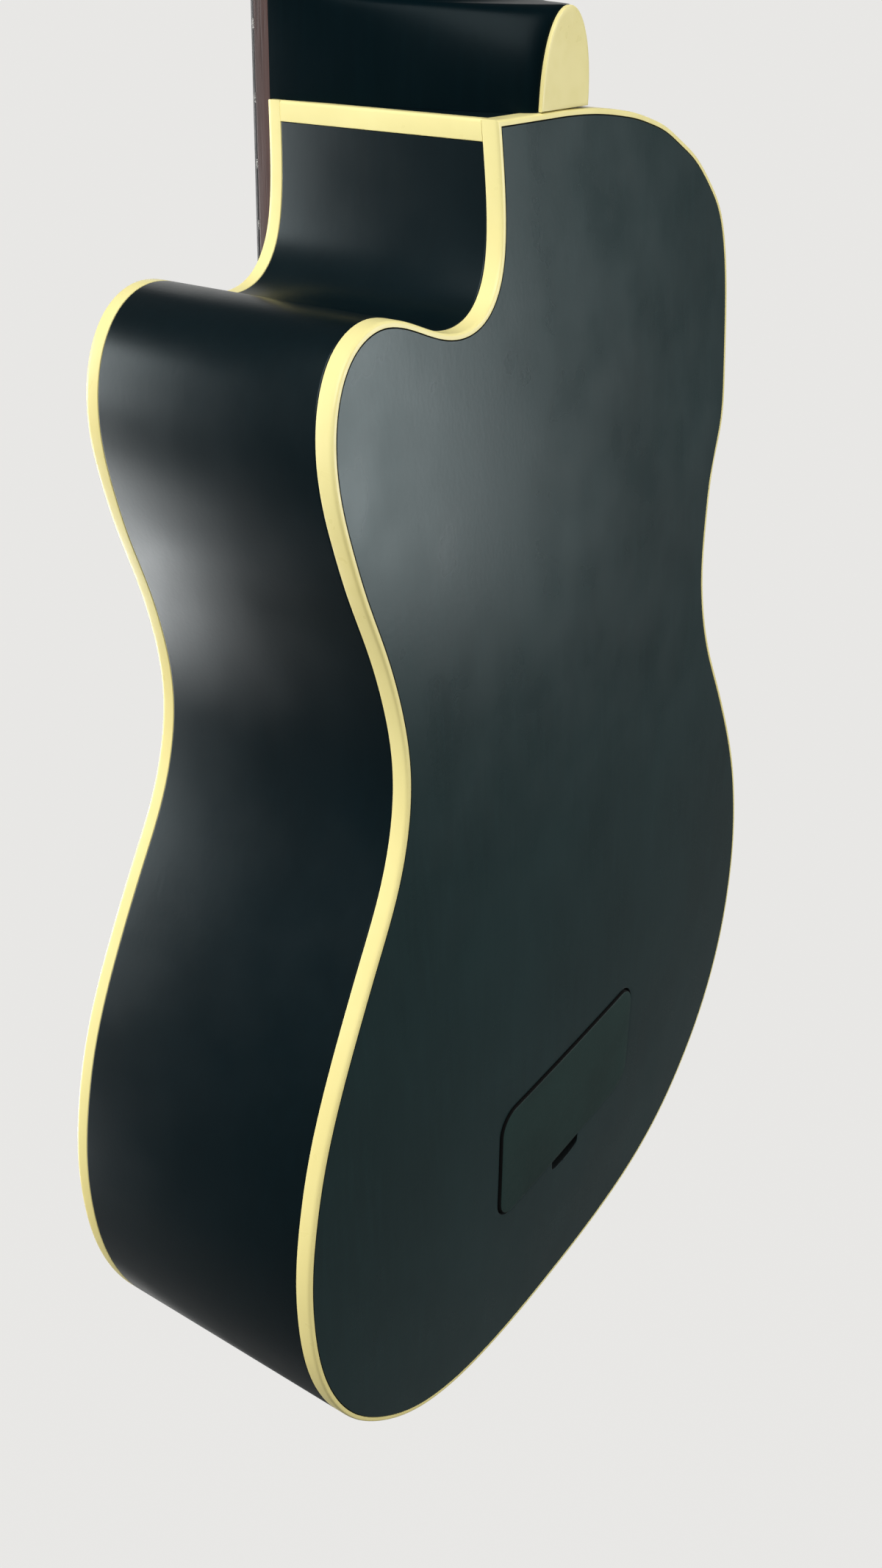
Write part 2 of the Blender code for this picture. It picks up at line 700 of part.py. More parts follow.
def braces(outline, parent):
    """Cross braces under the soundboard and on the back, and the plate under the bridge."""
    margin = SIDE_THICK + LINING_WIDTH + BRACE_END_GAP
    from_hole = SOUNDHOLE_RADIUS + BRACE_FROM_HOLE
    below_block = BODY_LENGTH - SIDE_THICK - NECK_BLOCK_LENGTH - BRACE_FROM_BLOCK
    above_panel = PANEL_CENTRE + PANEL_LENGTH / 2 + FRAME_RIM + BRACE_FROM_FRAME
    rows = (
        ("front_brace_upper", SOUNDHOLE_Z + from_hole, from_front, SOUNDBOARD_THICK),
        ("front_brace_lower", SOUNDHOLE_Z - from_hole, from_front, SOUNDBOARD_THICK),
        ("back_brace_upper", below_block, from_back, BACK_THICK),
        ("back_brace_middle", BODY_LENGTH * 0.62, from_back, BACK_THICK),
        ("back_brace_lower", above_panel, from_back, BACK_THICK),
    )
    for name, z, depth, thick in rows:
        low, high = z - BRACE_WIDTH / 2, z + BRACE_WIDTH / 2
        left = -min(edge_at(outline, low, -1), edge_at(outline, high, -1)) + margin
        right = min(edge_at(outline, low, 1), edge_at(outline, high, 1)) - margin
        polygon = rectangle((left, right), (low, high))
        near, far = depth(thick + SEAT), depth(thick + SEAT + BRACE_HEIGHT)
        place(name, plate_mesh(name, polygon, near, far, domed=True), spruce(), parent)
    half = BRIDGE_WIDTH / 2 + 3 * MM
    low, high = SADDLE_Z - BRIDGE_REAR, SADDLE_Z + BRIDGE_FRONT
    start = SOUNDBOARD_THICK + SEAT
    near, far = from_front(start), from_front(start + BRIDGE_PLATE_THICK)
    mesh = plate_mesh("bridge_plate", rectangle((-half, half), (low, high)), near, far)
    body = place("bridge_plate", mesh, plain_wood(), parent)
    carve(body, string_holes(0, start + BRIDGE_PLATE_THICK + 4 * MM))


def access_panel(instrument):
    """The lift-out panel, on an empty at its middle, and the frame inside the back that it rests on."""
    start = BACK_THICK + SEAT
    outer = (PANEL_WIDTH + 2 * FRAME_RIM, PANEL_LENGTH + 2 * FRAME_RIM)
    inner = (PANEL_WIDTH - 2 * FRAME_LEDGE, PANEL_LENGTH - 2 * FRAME_LEDGE)
    ring = rounded_rectangle(*outer, PANEL_CORNER, PANEL_CENTRE, 3)
    hole = rounded_rectangle(*inner, PANEL_CORNER, PANEL_CENTRE, 3)
    mesh = plate_mesh("access_frame", ring, from_back(start + FRAME_THICK), from_back(start), domed=True)
    body = place("access_frame", mesh, black_plastic(), instrument)
    inside, outside = from_back(start + FRAME_THICK + 3 * MM), from_back(-MM)
    carve(body, [plate_mesh("hole", hole, inside, outside), notch_mesh(inside, outside, FRAME_LEDGE)])
    middle = back_depth(0, PANEL_CENTRE)
    carrier = bpy.data.objects.new("access_panel_slide", None)
    bpy.context.scene.collection.objects.link(carrier)
    carrier.parent = instrument
    carrier.location = (0, middle, PANEL_CENTRE)
    shape = rounded_rectangle(PANEL_WIDTH, PANEL_LENGTH, PANEL_CORNER, PANEL_CENTRE)
    near, far = from_back(PANEL_RECESS + PANEL_THICK), from_back(PANEL_RECESS)
    mesh = plate_mesh("access_panel", shape, near, far, domed=True)
    mesh.transform(Matrix.Translation((0, -middle, -PANEL_CENTRE)))
    place("access_panel", mesh, black_plastic(), carrier)


def soundhole_ring(parent):
    outer = SOUNDHOLE_RADIUS - SEAT
    inner = outer - SOUNDHOLE_EDGE
    section = ((inner, 0), (outer, 0), (outer, -SOUNDBOARD_THICK), (inner, -SOUNDBOARD_THICK))
    mesh = ring_mesh("soundhole_ring", SOUNDHOLE_SIDES, section)
    mesh.transform(upright(0, 0, SOUNDHOLE_Z))
    place("soundhole_ring", mesh, ivory(), parent)


def half_width(z):
    """Half the width of the fingerboard and of the neck's top."""
    share = (NUT_Z - z) / (NUT_Z - BODY_LENGTH)
    return (WIDTH_AT_NUT + (WIDTH_AT_BODY - WIDTH_AT_NUT) * share) / 2


def fingerboard(parent):
    """The fingerboard with its frets seated flush with its edges."""
    low, high = FINGERBOARD_END, NUT_Z - SEAT
    stations = [(low, 0.0)]
    for fret in range(FRET_COUNT, 0, -1):
        z = NUT_Z - SCALE_LENGTH * (1 - 2 ** (-fret / 12))
        for across, rise in ((-0.5, 0), (-0.2, 1), (0.2, 1), (0.5, 0)):
            stations.append((z + across * FRET_WIDTH, rise * FRET_HEIGHT))
    stations.append((high, 0.0))
    rings = []
    for z, rise in stations:
        half, top = half_width(z), -SEAT - FINGERBOARD_THICK - rise
        rings.append([(-half, -SEAT, z), (half, -SEAT, z), (half, top, z), (-half, top, z)])
    place("fingerboard", loft_mesh("fingerboard", rings), rosewood(), parent)


def neck_section(half, flat, deep, fullness, place_point):
    """A ring of the neck: flat on top, with a curve below from its edges to a flat this half wide."""
    steps = 6
    ring = []
    for k in range(2 * steps + 2):
        side = 1 if k <= steps else -1
        turn = k if side == 1 else 2 * steps + 1 - k
        angle = math.pi / 2 * turn / steps
        across = max(math.cos(angle), 0.0) ** (2 / fullness)
        down = max(math.sin(angle), 0.0) ** (2 / fullness)
        ring.append(place_point(side * (flat + (half - flat) * across), deep * down))
    return ring


def heel_cap_half(z):
    share = min(max((z - BODY_LENGTH) / HEEL_CAP_LENGTH, 0.0), 1.0)
    return HEEL_CAP_WIDTH / 2 * math.sqrt(1 - share**1.6)


def neck_thickness(z):
    share = (z - BODY_LENGTH) / (NUT_Z - BODY_LENGTH)
    return NECK_THICK_BODY + (NECK_THICK_NUT - NECK_THICK_BODY) * share


def head_point(u, v, w):
    """A point of the headstock: u across, v up along its face, w out of its face."""
    tilt_sin, tilt_cos = math.sin(HEAD_TILT), math.cos(HEAD_TILT)
    return (u, v * tilt_sin - w * tilt_cos, HEAD_Z + v * tilt_cos + w * tilt_sin)


def head_stations():
    """Pairs of height up the headstock and half width, from the nut to the crown."""
    wide = HEAD_WIDTH / 2
    start = half_width(HEAD_Z)
    shape = ((0.03, 0.0), (0.07, 0.16), (0.12, 0.52), (0.17, 0.84), (0.23, 1.0))
    pairs = [(share * HEAD_LENGTH, start + (wide - start) * out) for share, out in shape]
    shape = ((0.5, 0.985), (0.76, 0.95), (0.88, 0.88), (0.94, 0.70), (0.975, 0.46), (1.0, 0.16))
    return pairs + [(share * HEAD_LENGTH, wide * out) for share, out in shape]


def neck(parent):
    """Heel, shaft and headstock in one loft, from the body to the headstock's crown."""
    rings = []
    least = 0.5 * MM
    heel_depth = DEPTH_AT_NECK - HEEL_CAP_THICK - SEAT
    foot = BODY_LENGTH + SEAT
    tip = BODY_LENGTH + HEEL_CAP_LENGTH
    for z in np.linspace(foot, tip, 6):
        flat = max(heel_cap_half(z), least)
        rings.append(neck_section(half_width(z), flat, heel_depth, 1.5, lambda x, y: (x, y, z)))
    for k in range(1, 8):
        angle = math.pi / 2 * (1 - k / 7)
        z = tip + HEEL_CURVE * (1 - math.sin(angle))
        shaft = neck_thickness(z)
        deep = shaft + (heel_depth - shaft) * (1 - math.cos(angle))
        fullness = 2.0 - 0.5 * (1 - math.cos(angle))
        rings.append(neck_section(half_width(z), least, deep, fullness, lambda x, y: (x, y, z)))
    for z in np.linspace(tip + HEEL_CURVE, HEAD_Z, 4)[1:]:
        rings.append(neck_section(half_width(z), least, neck_thickness(z), 2.0, lambda x, y: (x, y, z)))
    for step, (v, half) in enumerate(head_stations()):
        fullness = min(2.0 + 2.0 * step, 9.0)
        rings.append(neck_section(half, least, HEAD_THICK, fullness, lambda x, y: head_point(x, v, -y)))
    body = place("neck", loft_mesh("neck", rings), satin_black(), parent)
    cutters = [neck_bolt_cutter()]
    for v in (LOWER_POST, UPPER_POST):
        for side in (-1, 1):
            run = [head_point(side * POST_SPREAD, v, w) for w in (5 * MM, -HEAD_THICK - 5 * MM)]
            bore = bore_radius(POST_RADIUS + SEAT, POST_SIDES)
            cutters.append(tube_mesh("post_bore", run, [bore] * 2, POST_SIDES))
    carve(body, cutters)


def neck_bolt_cutter():
    low = BODY_LENGTH - SIDE_THICK - NECK_BLOCK_LENGTH - 10 * MM
    high = low + 10 * MM + NECK_BOLT_LENGTH + SEAT
    radius = NECK_BOLT_RADIUS + SEAT
    return turned_mesh("bolt_hole", [(radius, low), (radius, high)], 12, (0, NECK_BOLT_DEPTH, 0))


def neck_bolt(parent):
    """The bolt that draws the heel against the body, with its head inside on the neck block."""
    seat = BODY_LENGTH - SIDE_THICK - NECK_BLOCK_LENGTH - SEAT
    profile = [
        (NECK_BOLT_HEAD, seat - 4 * MM), (NECK_BOLT_HEAD, seat),
        (NECK_BOLT_RADIUS, seat), (NECK_BOLT_RADIUS, seat + NECK_BOLT_LENGTH),
    ]
    mesh = turned_mesh("neck_bolt", profile, 12, (0, NECK_BOLT_DEPTH, 0))
    place("neck_bolt", mesh, steel(), parent)


def heel_cap(parent):
    low, high = BODY_LENGTH + SEAT, BODY_LENGTH + HEEL_CAP_LENGTH
    heights = low + (high - low) * np.sin(np.linspace(0, math.pi / 2, 9))
    right = [(max(heel_cap_half(z), 0.5 * MM), z) for z in heights]
    polygon = right + [(-x, z) for x, z in reversed(right)]
    near, far = from_front(DEPTH_AT_NECK - HEEL_CAP_THICK), from_front(DEPTH_AT_NECK)
    place("heel_cap", plate_mesh("heel_cap", polygon, near, far), ivory(), parent)


def nut(parent):
    low, high = NUT_Z + SEAT / 2, NUT_Z + NUT_LENGTH
    half = half_width(high)
    body = place("nut", box_mesh("nut", (-half, -NUT_HEIGHT, low), (half, -SEAT, high)), bone(), parent)
    cutters = []
    for index, radius in enumerate(STRING_RADII):
        x, height = string_x(index, NUT_SPACING), string_height(radius, NUT_Z)
        wide = (radius + STRING_CLEARANCE) / math.cos(math.pi / STRING_SIDES)
        run = [(x, -height, low - 3 * MM), (x, -height, high + 3 * MM)]
        cutters.append(tube_mesh("slot", run, [wide] * 2, STRING_SIDES))
    carve(body, cutters)


def bridge(parent):
    rear, front = SADDLE_Z - BRIDGE_REAR, SADDLE_Z + BRIDGE_FRONT
    profile = (
        (rear, 0), (rear, 0.7 * BRIDGE_REAR_HEIGHT), (rear + 1.5 * MM, BRIDGE_REAR_HEIGHT),
        (SADDLE_Z - RIDGE_BEHIND - 1 * MM, BRIDGE_REAR_HEIGHT),
        (SADDLE_Z - RIDGE_BEHIND, BRIDGE_RIDGE_HEIGHT), (SADDLE_Z + RIDGE_AHEAD, BRIDGE_RIDGE_HEIGHT),
        (front - 1.5 * MM, BRIDGE_FRONT_HEIGHT), (front, 0.5 * BRIDGE_FRONT_HEIGHT), (front, 0),
    )
    rings = []
    half = BRIDGE_WIDTH / 2
    wing = half - SADDLE_WIDTH / 2 - 3 * MM
    middle = (rear + front) / 2
    for x, rise, spread in (
        (-half, 0.28, 0.72), (-half + 0.12 * wing, 0.36, 0.9), (-half + 0.3 * wing, 0.42, 1.0),
        (-half + wing, 1.0, 1.0), (half - wing, 1.0, 1.0),
        (half - 0.3 * wing, 0.42, 1.0), (half - 0.12 * wing, 0.36, 0.9), (half, 0.28, 0.72),
    ):
        rings.append([(x, -SEAT - rise * up, middle + spread * (z - middle)) for z, up in profile])
    body = place("bridge", loft_mesh("bridge", rings), rosewood(), parent)
    reach = SADDLE_WIDTH / 2 + SEAT
    slot = SADDLE_THICK / 2 + SEAT
    floor = -SADDLE_SLOT_FLOOR - SEAT
    cutter = box_mesh("slot", (-reach, -20 * MM, SADDLE_Z - slot), (reach, floor, SADDLE_Z + slot))
    carve(body, [cutter] + string_holes(-20 * MM, 5 * MM))


def saddle_and_pickup(parent):
    half = SADDLE_WIDTH / 2
    low = SADDLE_SLOT_FLOOR + 2 * SEAT
    behind, ahead = SADDLE_Z - SADDLE_THICK / 2, SADDLE_Z + SADDLE_THICK / 2
    mesh = box_mesh("pickup", (-half, -low - PICKUP_THICK, behind), (half, -low, ahead))
    place("under_saddle_pickup", mesh, pickup_foil(), parent)
    low += PICKUP_THICK + SEAT
    top = STRING_AT_SADDLE
    profile = (
        (behind, low), (behind, top - 1.4 * MM), (SADDLE_Z - SADDLE_EDGE, top),
        (SADDLE_Z + SADDLE_EDGE, top), (ahead, top - 1.0 * MM), (ahead, low),
    )
    rings = [[(x, -up, z) for z, up in profile] for x in (-half, half)]
    place("saddle", loft_mesh("saddle", rings), bone(), parent)


def string_path(index):
    """From the knot under the bridge plate, over saddle and nut, and round its post."""
    radius = STRING_RADII[index]
    x = string_x(index, SADDLE_SPACING)
    hole = SADDLE_Z - STRING_HOLE_BACK
    under = SOUNDBOARD_THICK + BRIDGE_PLATE_THICK + 2 * SEAT
    points = [(x, under + 5.4 * MM, hole), (x, under + 4.6 * MM, hole), (x, under + 1.2 * MM, hole)]
    radii = [KNOT_RADIUS * 0.6, KNOT_RADIUS, KNOT_RADIUS]
    reach = radius + STRING_CLEARANCE + 0.1 * MM
    over = []
    for angle in (BREAK_ANGLE, BREAK_ANGLE / 2, 0.0):
        z = SADDLE_Z - SADDLE_EDGE - reach * math.sin(angle)
        over.append((x, -STRING_AT_SADDLE - reach * math.cos(angle), z))
    along = over[0][2] - hole
    climb = math.tan(BREAK_ANGLE)
    points += [(x, under + 0.4 * MM, hole), (x, -BRIDGE_REAR_HEIGHT - SEAT, hole)]
    for share, lower in ((0.9, 0.8 * MM), (0.6, 0.0)):
        back = share * along
        points.append((x, over[0][1] + climb * back + lower, over[0][2] - back))
    points += over
    at_nut, height = string_x(index, NUT_SPACING), string_height(radius, NUT_Z)
    points += [(at_nut, -height, NUT_Z), (at_nut, -height, NUT_Z + NUT_LENGTH)]
    side = -1 if index < 2 else 1
    v = LOWER_POST if index in (0, 3) else UPPER_POST
    around = (POST_RADIUS + STRING_CLEARANCE + radius) / math.cos(math.pi / STEPS_A_WRAP)
    for k in range(int(STEPS_A_WRAP * WRAPS) + 1):
        angle = 2 * math.pi * k / STEPS_A_WRAP
        w = WRAP_START - (2 * radius + 0.35 * MM) * k / STEPS_A_WRAP
        u = side * (POST_SPREAD - around * math.cos(angle))
        points.append(head_point(u, v + around * math.sin(angle), w))
    radii += [radius] * (len(points) - len(radii))
    return points, radii


def strings(parent):
    for index in range(len(STRING_RADII)):
        points, radii = string_path(index)
        mesh = tube_mesh(f"string_{4 - index}", points, radii, STRING_SIDES)
        place(f"string_{4 - index}", mesh, string_plastic(), parent)


def gear_ring(width_at, lean):
    """The gear's outline at one height, its teeth turned by the worm's lead."""
    points = []
    for tooth in range(GEAR_TEETH):
        for share, level in ((-0.30, -1), (-0.15, 1), (0.15, 1), (0.30, -1)):
            radius = GEAR_RADIUS + level * TOOTH_DEPTH / 2 - TOOTH_CLEARANCE
            angle = 2 * math.pi * (tooth + share) / GEAR_TEETH + lean
            points.append((radius * math.cos(angle), radius * math.sin(angle), width_at))
    return points


def post_mesh():
    """A string post with its helical gear. Its axis is Z, and its face side is +Z."""
    half = GEAR_WIDTH / 2
    lead = math.atan(WORM_PITCH / (2 * math.pi * WORM_RADIUS))
    lean = half * math.tan(lead) / GEAR_RADIUS
    gear = loft_mesh("gear", [gear_ring(GEAR_PLANE - half, -lean), gear_ring(GEAR_PLANE + half, lean)])
    low, top = GEAR_PLANE - half - 1.5 * MM, POST_TOP
    profile = [
        (POST_RADIUS * 0.8, low), (POST_RADIUS, low + 0.8 * MM), (POST_RADIUS, top - 5 * MM),
        (POST_RADIUS + 0.5 * MM, top - 3.5 * MM), (POST_RADIUS + 0.5 * MM, top - 1 * MM),
        (POST_RADIUS * 0.8, top),
    ]
    return turned_mesh("post", profile, POST_SIDES), gear


def worm_mesh():
    """A worm along X: its thread is a ridge whose place along X moves one pitch a turn."""
    bm = bmesh.new()
    half = WORM_LENGTH / 2
    core, crest = WORM_RADIUS - TOOTH_DEPTH / 2, WORM_CREST - TOOTH_CLEARANCE
    profile = ((-0.23, core), (-0.10, crest), (0.10, crest), (0.23, core))
    turns = int(math.ceil(half / WORM_PITCH)) + 1
    columns = []
    for k in range(WORM_SIDES + 1):
        angle = 2 * math.pi * k / WORM_SIDES
        column = []
        for turn in range(-turns, turns + 1):
            for share, radius in profile:
                x = (turn + share + k / WORM_SIDES) * WORM_PITCH
                inside = abs(x) < half
                reach = radius if inside else core
                x = min(max(x, -half), half)
                column.append(bm.verts.new((x, reach * math.cos(angle), reach * math.sin(angle))))
        columns.append(column)
    for here, there in zip(columns, columns[1:]):
        for i in range(len(here) - 1):
            bm.faces.new((here[i], here[i + 1], there[i + 1], there[i]))
    bmesh.ops.remove_doubles(bm, verts=bm.verts, dist=1e-6)
    bmesh.ops.dissolve_degenerate(bm, edges=bm.edges, dist=1e-6)
    bmesh.ops.holes_fill(bm, edges=[edge for edge in bm.edges if edge.is_boundary], sides=0)
    return finish_mesh(bm, "worm")


def button_mesh(reach):
    """The shaft and the oval button on it, along X, from the far ear to beyond the headstock's edge."""
    end = -WORM_LENGTH / 2 - EAR_THICK - 1.6 * MM
    profile = [
        (SHAFT_RADIUS, end), (SHAFT_RADIUS, reach - 1.5 * MM), (3.2 * MM, reach - 1.0 * MM),
        (3.6 * MM, reach + 2.0 * MM), (BUTTON_RADIUS * 0.82, reach + 5.0 * MM),
        (BUTTON_RADIUS, reach + 0.55 * BUTTON_LENGTH),
        (BUTTON_RADIUS * 0.86, reach + 0.8 * BUTTON_LENGTH), (BUTTON_RADIUS * 0.4, reach + BUTTON_LENGTH),
    ]
    bm = bmesh.new()
    rings = []
    for number, (radius, x) in enumerate(profile):
        flat = BUTTON_FLATNESS if number > 3 else 1.0
        ring = []
        for k in range(WORM_SIDES):
            angle = 2 * math.pi * k / WORM_SIDES
            ring.append(bm.verts.new((x, radius * math.cos(angle), radius * flat * math.sin(angle))))
        rings.append(ring)
    for here, there in zip(rings, rings[1:]):
        for k in range(WORM_SIDES):
            j = (k + 1) % WORM_SIDES
            bm.faces.new((here[k], here[j], there[j], there[k]))
    bm.faces.new(rings[0])
    bm.faces.new(rings[-1])
    return finish_mesh(bm, "button")


def bore_radius(radius, sides):
    """Radius of a bore of so many flats in which a bar of this radius turns freely."""
    return (radius + RUNNING_GAP) / math.cos(math.pi / sides)


def base_boxes():
    """The base plate and the two ears that carry the worm's shaft, about the post's axis."""
    top = -HEAD_THICK - SEAT
    low = top - BASE_THICK
    ear_reach = WORM_LENGTH / 2 + SEAT
    floor = GEAR_PLANE - SHAFT_RADIUS - EAR_WALL
    plate = ((-BASE_WIDTH / 2, -WORM_OFFSET - BASE_BELOW, low), (BASE_WIDTH / 2, BASE_ABOVE, top))
    boxes = [box_mesh("plate", *plate)]
    around = SHAFT_RADIUS + EAR_WALL
    for sign in (-1, 1):
        near, far = sorted((sign * ear_reach, sign * (ear_reach + EAR_THICK)))
        corners = ((near, -WORM_OFFSET - around, floor), (far, -WORM_OFFSET + around, top))
        boxes.append(box_mesh("ear", *corners))
    return boxes


def upright(x, y, z):
    """Moves a body drawn about Z so that it stands along -Y at this point."""
    return Matrix.Translation((x, y, z)) @ Matrix.Rotation(math.pi / 2, 4, "X")


def mirrored(mesh):
    """Turns a right-hand machine's mesh into a left-hand one."""
    mesh.transform(Matrix.Scale(-1, 4, Vector((1, 0, 0))))
    mesh.flip_normals()
    return mesh


def head_frame(parent):
    frame = bpy.data.objects.new("headstock_frame", None)
    bpy.context.scene.collection.objects.link(frame)
    frame.parent = parent
    frame.location = (0, 0, HEAD_Z)
    across, up, out = Vector((1, 0, 0)), Vector(head_point(0, 1, 0)), Vector(head_point(0, 0, 1))
    up -= Vector((0, 0, HEAD_Z))
    out -= Vector((0, 0, HEAD_Z))
    frame.rotation_euler = Matrix((across, up, out)).transposed().to_euler()
    return frame


def tuning_machine(number, side, v, frame):
    """Base plate, string post with gear, worm shaft with button, and bushing. Local Z leaves the face."""
    turn = (lambda mesh: mesh) if side > 0 else mirrored
    at = (side * POST_SPREAD, v, 0)
    plate, *ears = [turn(mesh) for mesh in base_boxes()]
    base = place(f"tuner_base_{number}", plate, black_metal(), frame, at)
    carve(base, ears, "UNION")
    bore = bore_radius(SHAFT_RADIUS, WORM_SIDES)
    reach = WORM_LENGTH / 2 + EAR_THICK + 3 * MM
    line = [(x, -WORM_OFFSET, GEAR_PLANE) for x in (-reach, reach)]
    shaft_hole = tube_mesh("bore", line, [bore] * 2, WORM_SIDES)
    bore = bore_radius(POST_RADIUS, POST_SIDES)
    line = [(bore, -HEAD_THICK - 5 * MM), (bore, -HEAD_THICK + MM)]
    carve(base, [shaft_hole, turned_mesh("bore", line, POST_SIDES)])

    shaft, gear = post_mesh()
    post = place(f"tuner_post_{number}", turn(shaft), steel(), frame, at)
    carve(post, [turn(gear)], "UNION")
    line = [(x, 0, WRAP_START + MM) for x in (-9 * MM, 9 * MM)]
    carve(post, [tube_mesh("string_hole", line, [POST_HOLE_RADIUS] * 2, 8)])

    edge = HEAD_WIDTH / 2 - POST_SPREAD + 6 * MM
    axis = (side * POST_SPREAD, v - WORM_OFFSET, GEAR_PLANE)
    button = place(f"tuner_button_{number}", turn(button_mesh(edge)), black_metal(), frame, axis)
    carve(button, [turn(worm_mesh())], "UNION")

    inner, outer = bore_radius(POST_RADIUS, POST_SIDES), BUSHING_RADIUS
    section = ((inner, SEAT), (outer, SEAT), (outer * 0.9, BUSHING_HEIGHT), (inner, BUSHING_HEIGHT))
    mesh = ring_mesh("bushing", POST_SIDES, section)
    place(f"tuner_bushing_{number}", mesh, black_metal(), frame, at)


def tuning_machines(parent):
    frame = head_frame(parent)
    places = ((4, -1, LOWER_POST), (3, -1, UPPER_POST), (2, 1, UPPER_POST), (1, 1, LOWER_POST))
    for number, side, v in places:
        tuning_machine(number, side, v, frame)


def controls(parent):
    """The control plate under the soundboard, beside the soundhole, and its two thumbwheels."""
    start = SOUNDBOARD_THICK + SEAT
    x = -SOUNDHOLE_RADIUS - WHEEL_REACH
    depth = start + CONTROL_THICK + RUNNING_GAP
    near, far = x - WHEEL_RADIUS - 5 * MM, x + 3 * MM
    low, high = SOUNDHOLE_Z - WHEEL_SPACING, SOUNDHOLE_Z + WHEEL_SPACING
    mesh = box_mesh("plate", (near, start, low), (far, start + CONTROL_THICK, high))
    body = place("control_plate", mesh, black_plastic(), parent)
    circuit = ((near - CIRCUIT_WIDTH, start, low), (near + MM, start + CIRCUIT_HEIGHT, high))
    extras = [box_mesh("circuit", *circuit)]
    inner = bore_radius(WHEEL_AXLE_RADIUS, WHEEL_SIDES)
    section = ((inner, 0), (WHEEL_RADIUS, 0), (WHEEL_RADIUS, -WHEEL_THICK), (inner, -WHEEL_THICK))
    for name, sign in (("tone_wheel", -1), ("volume_wheel", 1)):
        z = SOUNDHOLE_Z + sign * WHEEL_SPACING / 2
        axle = [(WHEEL_AXLE_RADIUS, start + MM), (WHEEL_AXLE_RADIUS, depth + WHEEL_THICK + MM)]
        extras.append(turned_mesh("axle", axle, 12, (x, 0, z), "Y"))
        wheel = ring_mesh(name, WHEEL_SIDES, section, WHEEL_GROOVE)
        wheel.transform(upright(0, 0, 0))
        place(name, wheel, black_plastic(), parent, (x, depth, z))
    carve(body, extras, "UNION")


def jack_depth():
    return back_depth(0, 0) / 2


def jack_cutter():
    radius = JACK_BARREL_RADIUS + SEAT
    return turned_mesh("jack_hole", [(radius, -20 * MM), (radius, 60 * MM)], 16, (0, jack_depth(), 0))


def end_jack(parent):
    """The end-pin jack in the tail: strap collar and flange outside, barrel through side and block."""
    low = -SEAT - JACK_FLANGE_THICK - JACK_COLLAR_LENGTH
    flange = -SEAT - JACK_FLANGE_THICK
    collar = JACK_FLANGE_RADIUS * 0.9
    profile = [
        (collar, low), (collar, low + 2 * MM), (JACK_BARREL_RADIUS, low + 3.2 * MM),
        (JACK_BARREL_RADIUS, flange), (JACK_FLANGE_RADIUS, flange), (JACK_FLANGE_RADIUS, -SEAT),
        (JACK_BARREL_RADIUS, -SEAT), (JACK_BARREL_RADIUS, low + JACK_LENGTH),
    ]
    mesh = turned_mesh("end_jack", profile, 16, (0, jack_depth(), 0))
    body = place("end_jack", mesh, black_metal(), parent)
    bore = [(JACK_BORE_RADIUS, low - 5 * MM), (JACK_BORE_RADIUS, low + JACK_LENGTH - 4 * MM)]
    carve(body, [turned_mesh("jack_bore", bore, 12, (0, jack_depth(), 0))])


def main():
    clear_scene()
    instrument = bpy.data.objects.new("bass_ukulele", None)
    bpy.context.scene.collection.objects.link(instrument)
    instrument.location = (0, -HANGER_Y, -HANGER_Z)
    outline = body_outline()
    soundboard(outline, instrument)
    back_plate(outline, instrument)
    sides(outline, instrument)
    for name in ("treble_side", "bass_side"):
        carve(bpy.data.objects[name], [jack_cutter(), neck_bolt_cutter()])
    bindings(outline, instrument)
    corner_strip(outline, instrument)
    linings(outline, instrument)
    blocks(outline, instrument)
    braces(outline, instrument)
    access_panel(instrument)
    soundhole_ring(instrument)
    fingerboard(instrument)
    neck(instrument)
    neck_bolt(instrument)
    heel_cap(instrument)
    nut(instrument)
    bridge(instrument)
    saddle_and_pickup(instrument)
    strings(instrument)
    tuning_machines(instrument)
    controls(instrument)
    end_jack(instrument)
    for body in bpy.data.objects:
        if body.type == "MESH":
            round_smooth(body)


main()
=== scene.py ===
"""Fine surfaces, finishes and a studio for an acoustic bass ukulele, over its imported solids.

X runs across the instrument, towards the treble side. Y runs from the soundboard to the back.
Z runs up. Shapes are drawn from the soundboard's outer face and from the tail, and a piece is
moved to where the instrument hangs when its mesh is made.
"""

import math

import bpy
import numpy as np
from mathutils import Matrix, Vector


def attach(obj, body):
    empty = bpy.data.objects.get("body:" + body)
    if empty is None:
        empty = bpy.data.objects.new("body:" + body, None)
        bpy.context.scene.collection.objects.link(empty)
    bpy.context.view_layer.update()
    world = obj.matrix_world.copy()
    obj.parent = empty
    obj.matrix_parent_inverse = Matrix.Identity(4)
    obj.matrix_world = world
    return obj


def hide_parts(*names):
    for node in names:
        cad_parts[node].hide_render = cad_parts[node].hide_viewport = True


bl_info = {
    "name": "Bass ukulele",
    "version": (1, 0, 0),
    "blender": (4, 5, 0),
    "location": "3D View > Sidebar > Ukulele",
    "description": "Builds the surfaces, finishes and studio of an acoustic bass ukulele",
    "category": "Add Mesh",
}

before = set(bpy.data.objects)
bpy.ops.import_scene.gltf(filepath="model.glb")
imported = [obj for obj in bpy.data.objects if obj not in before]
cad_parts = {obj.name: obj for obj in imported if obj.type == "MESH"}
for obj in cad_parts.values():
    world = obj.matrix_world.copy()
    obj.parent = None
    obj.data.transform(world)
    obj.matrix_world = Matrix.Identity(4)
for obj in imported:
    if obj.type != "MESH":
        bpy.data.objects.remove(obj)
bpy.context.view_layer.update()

MM = 0.001

# Degrees between faces, above which their edge is drawn sharp
SHARP_ANGLE = 35

# Least gaps and steps, which keep faces from lying in one plane
CLOSE_FIT = 0.02 * MM
HAIR = 0.05 * MM

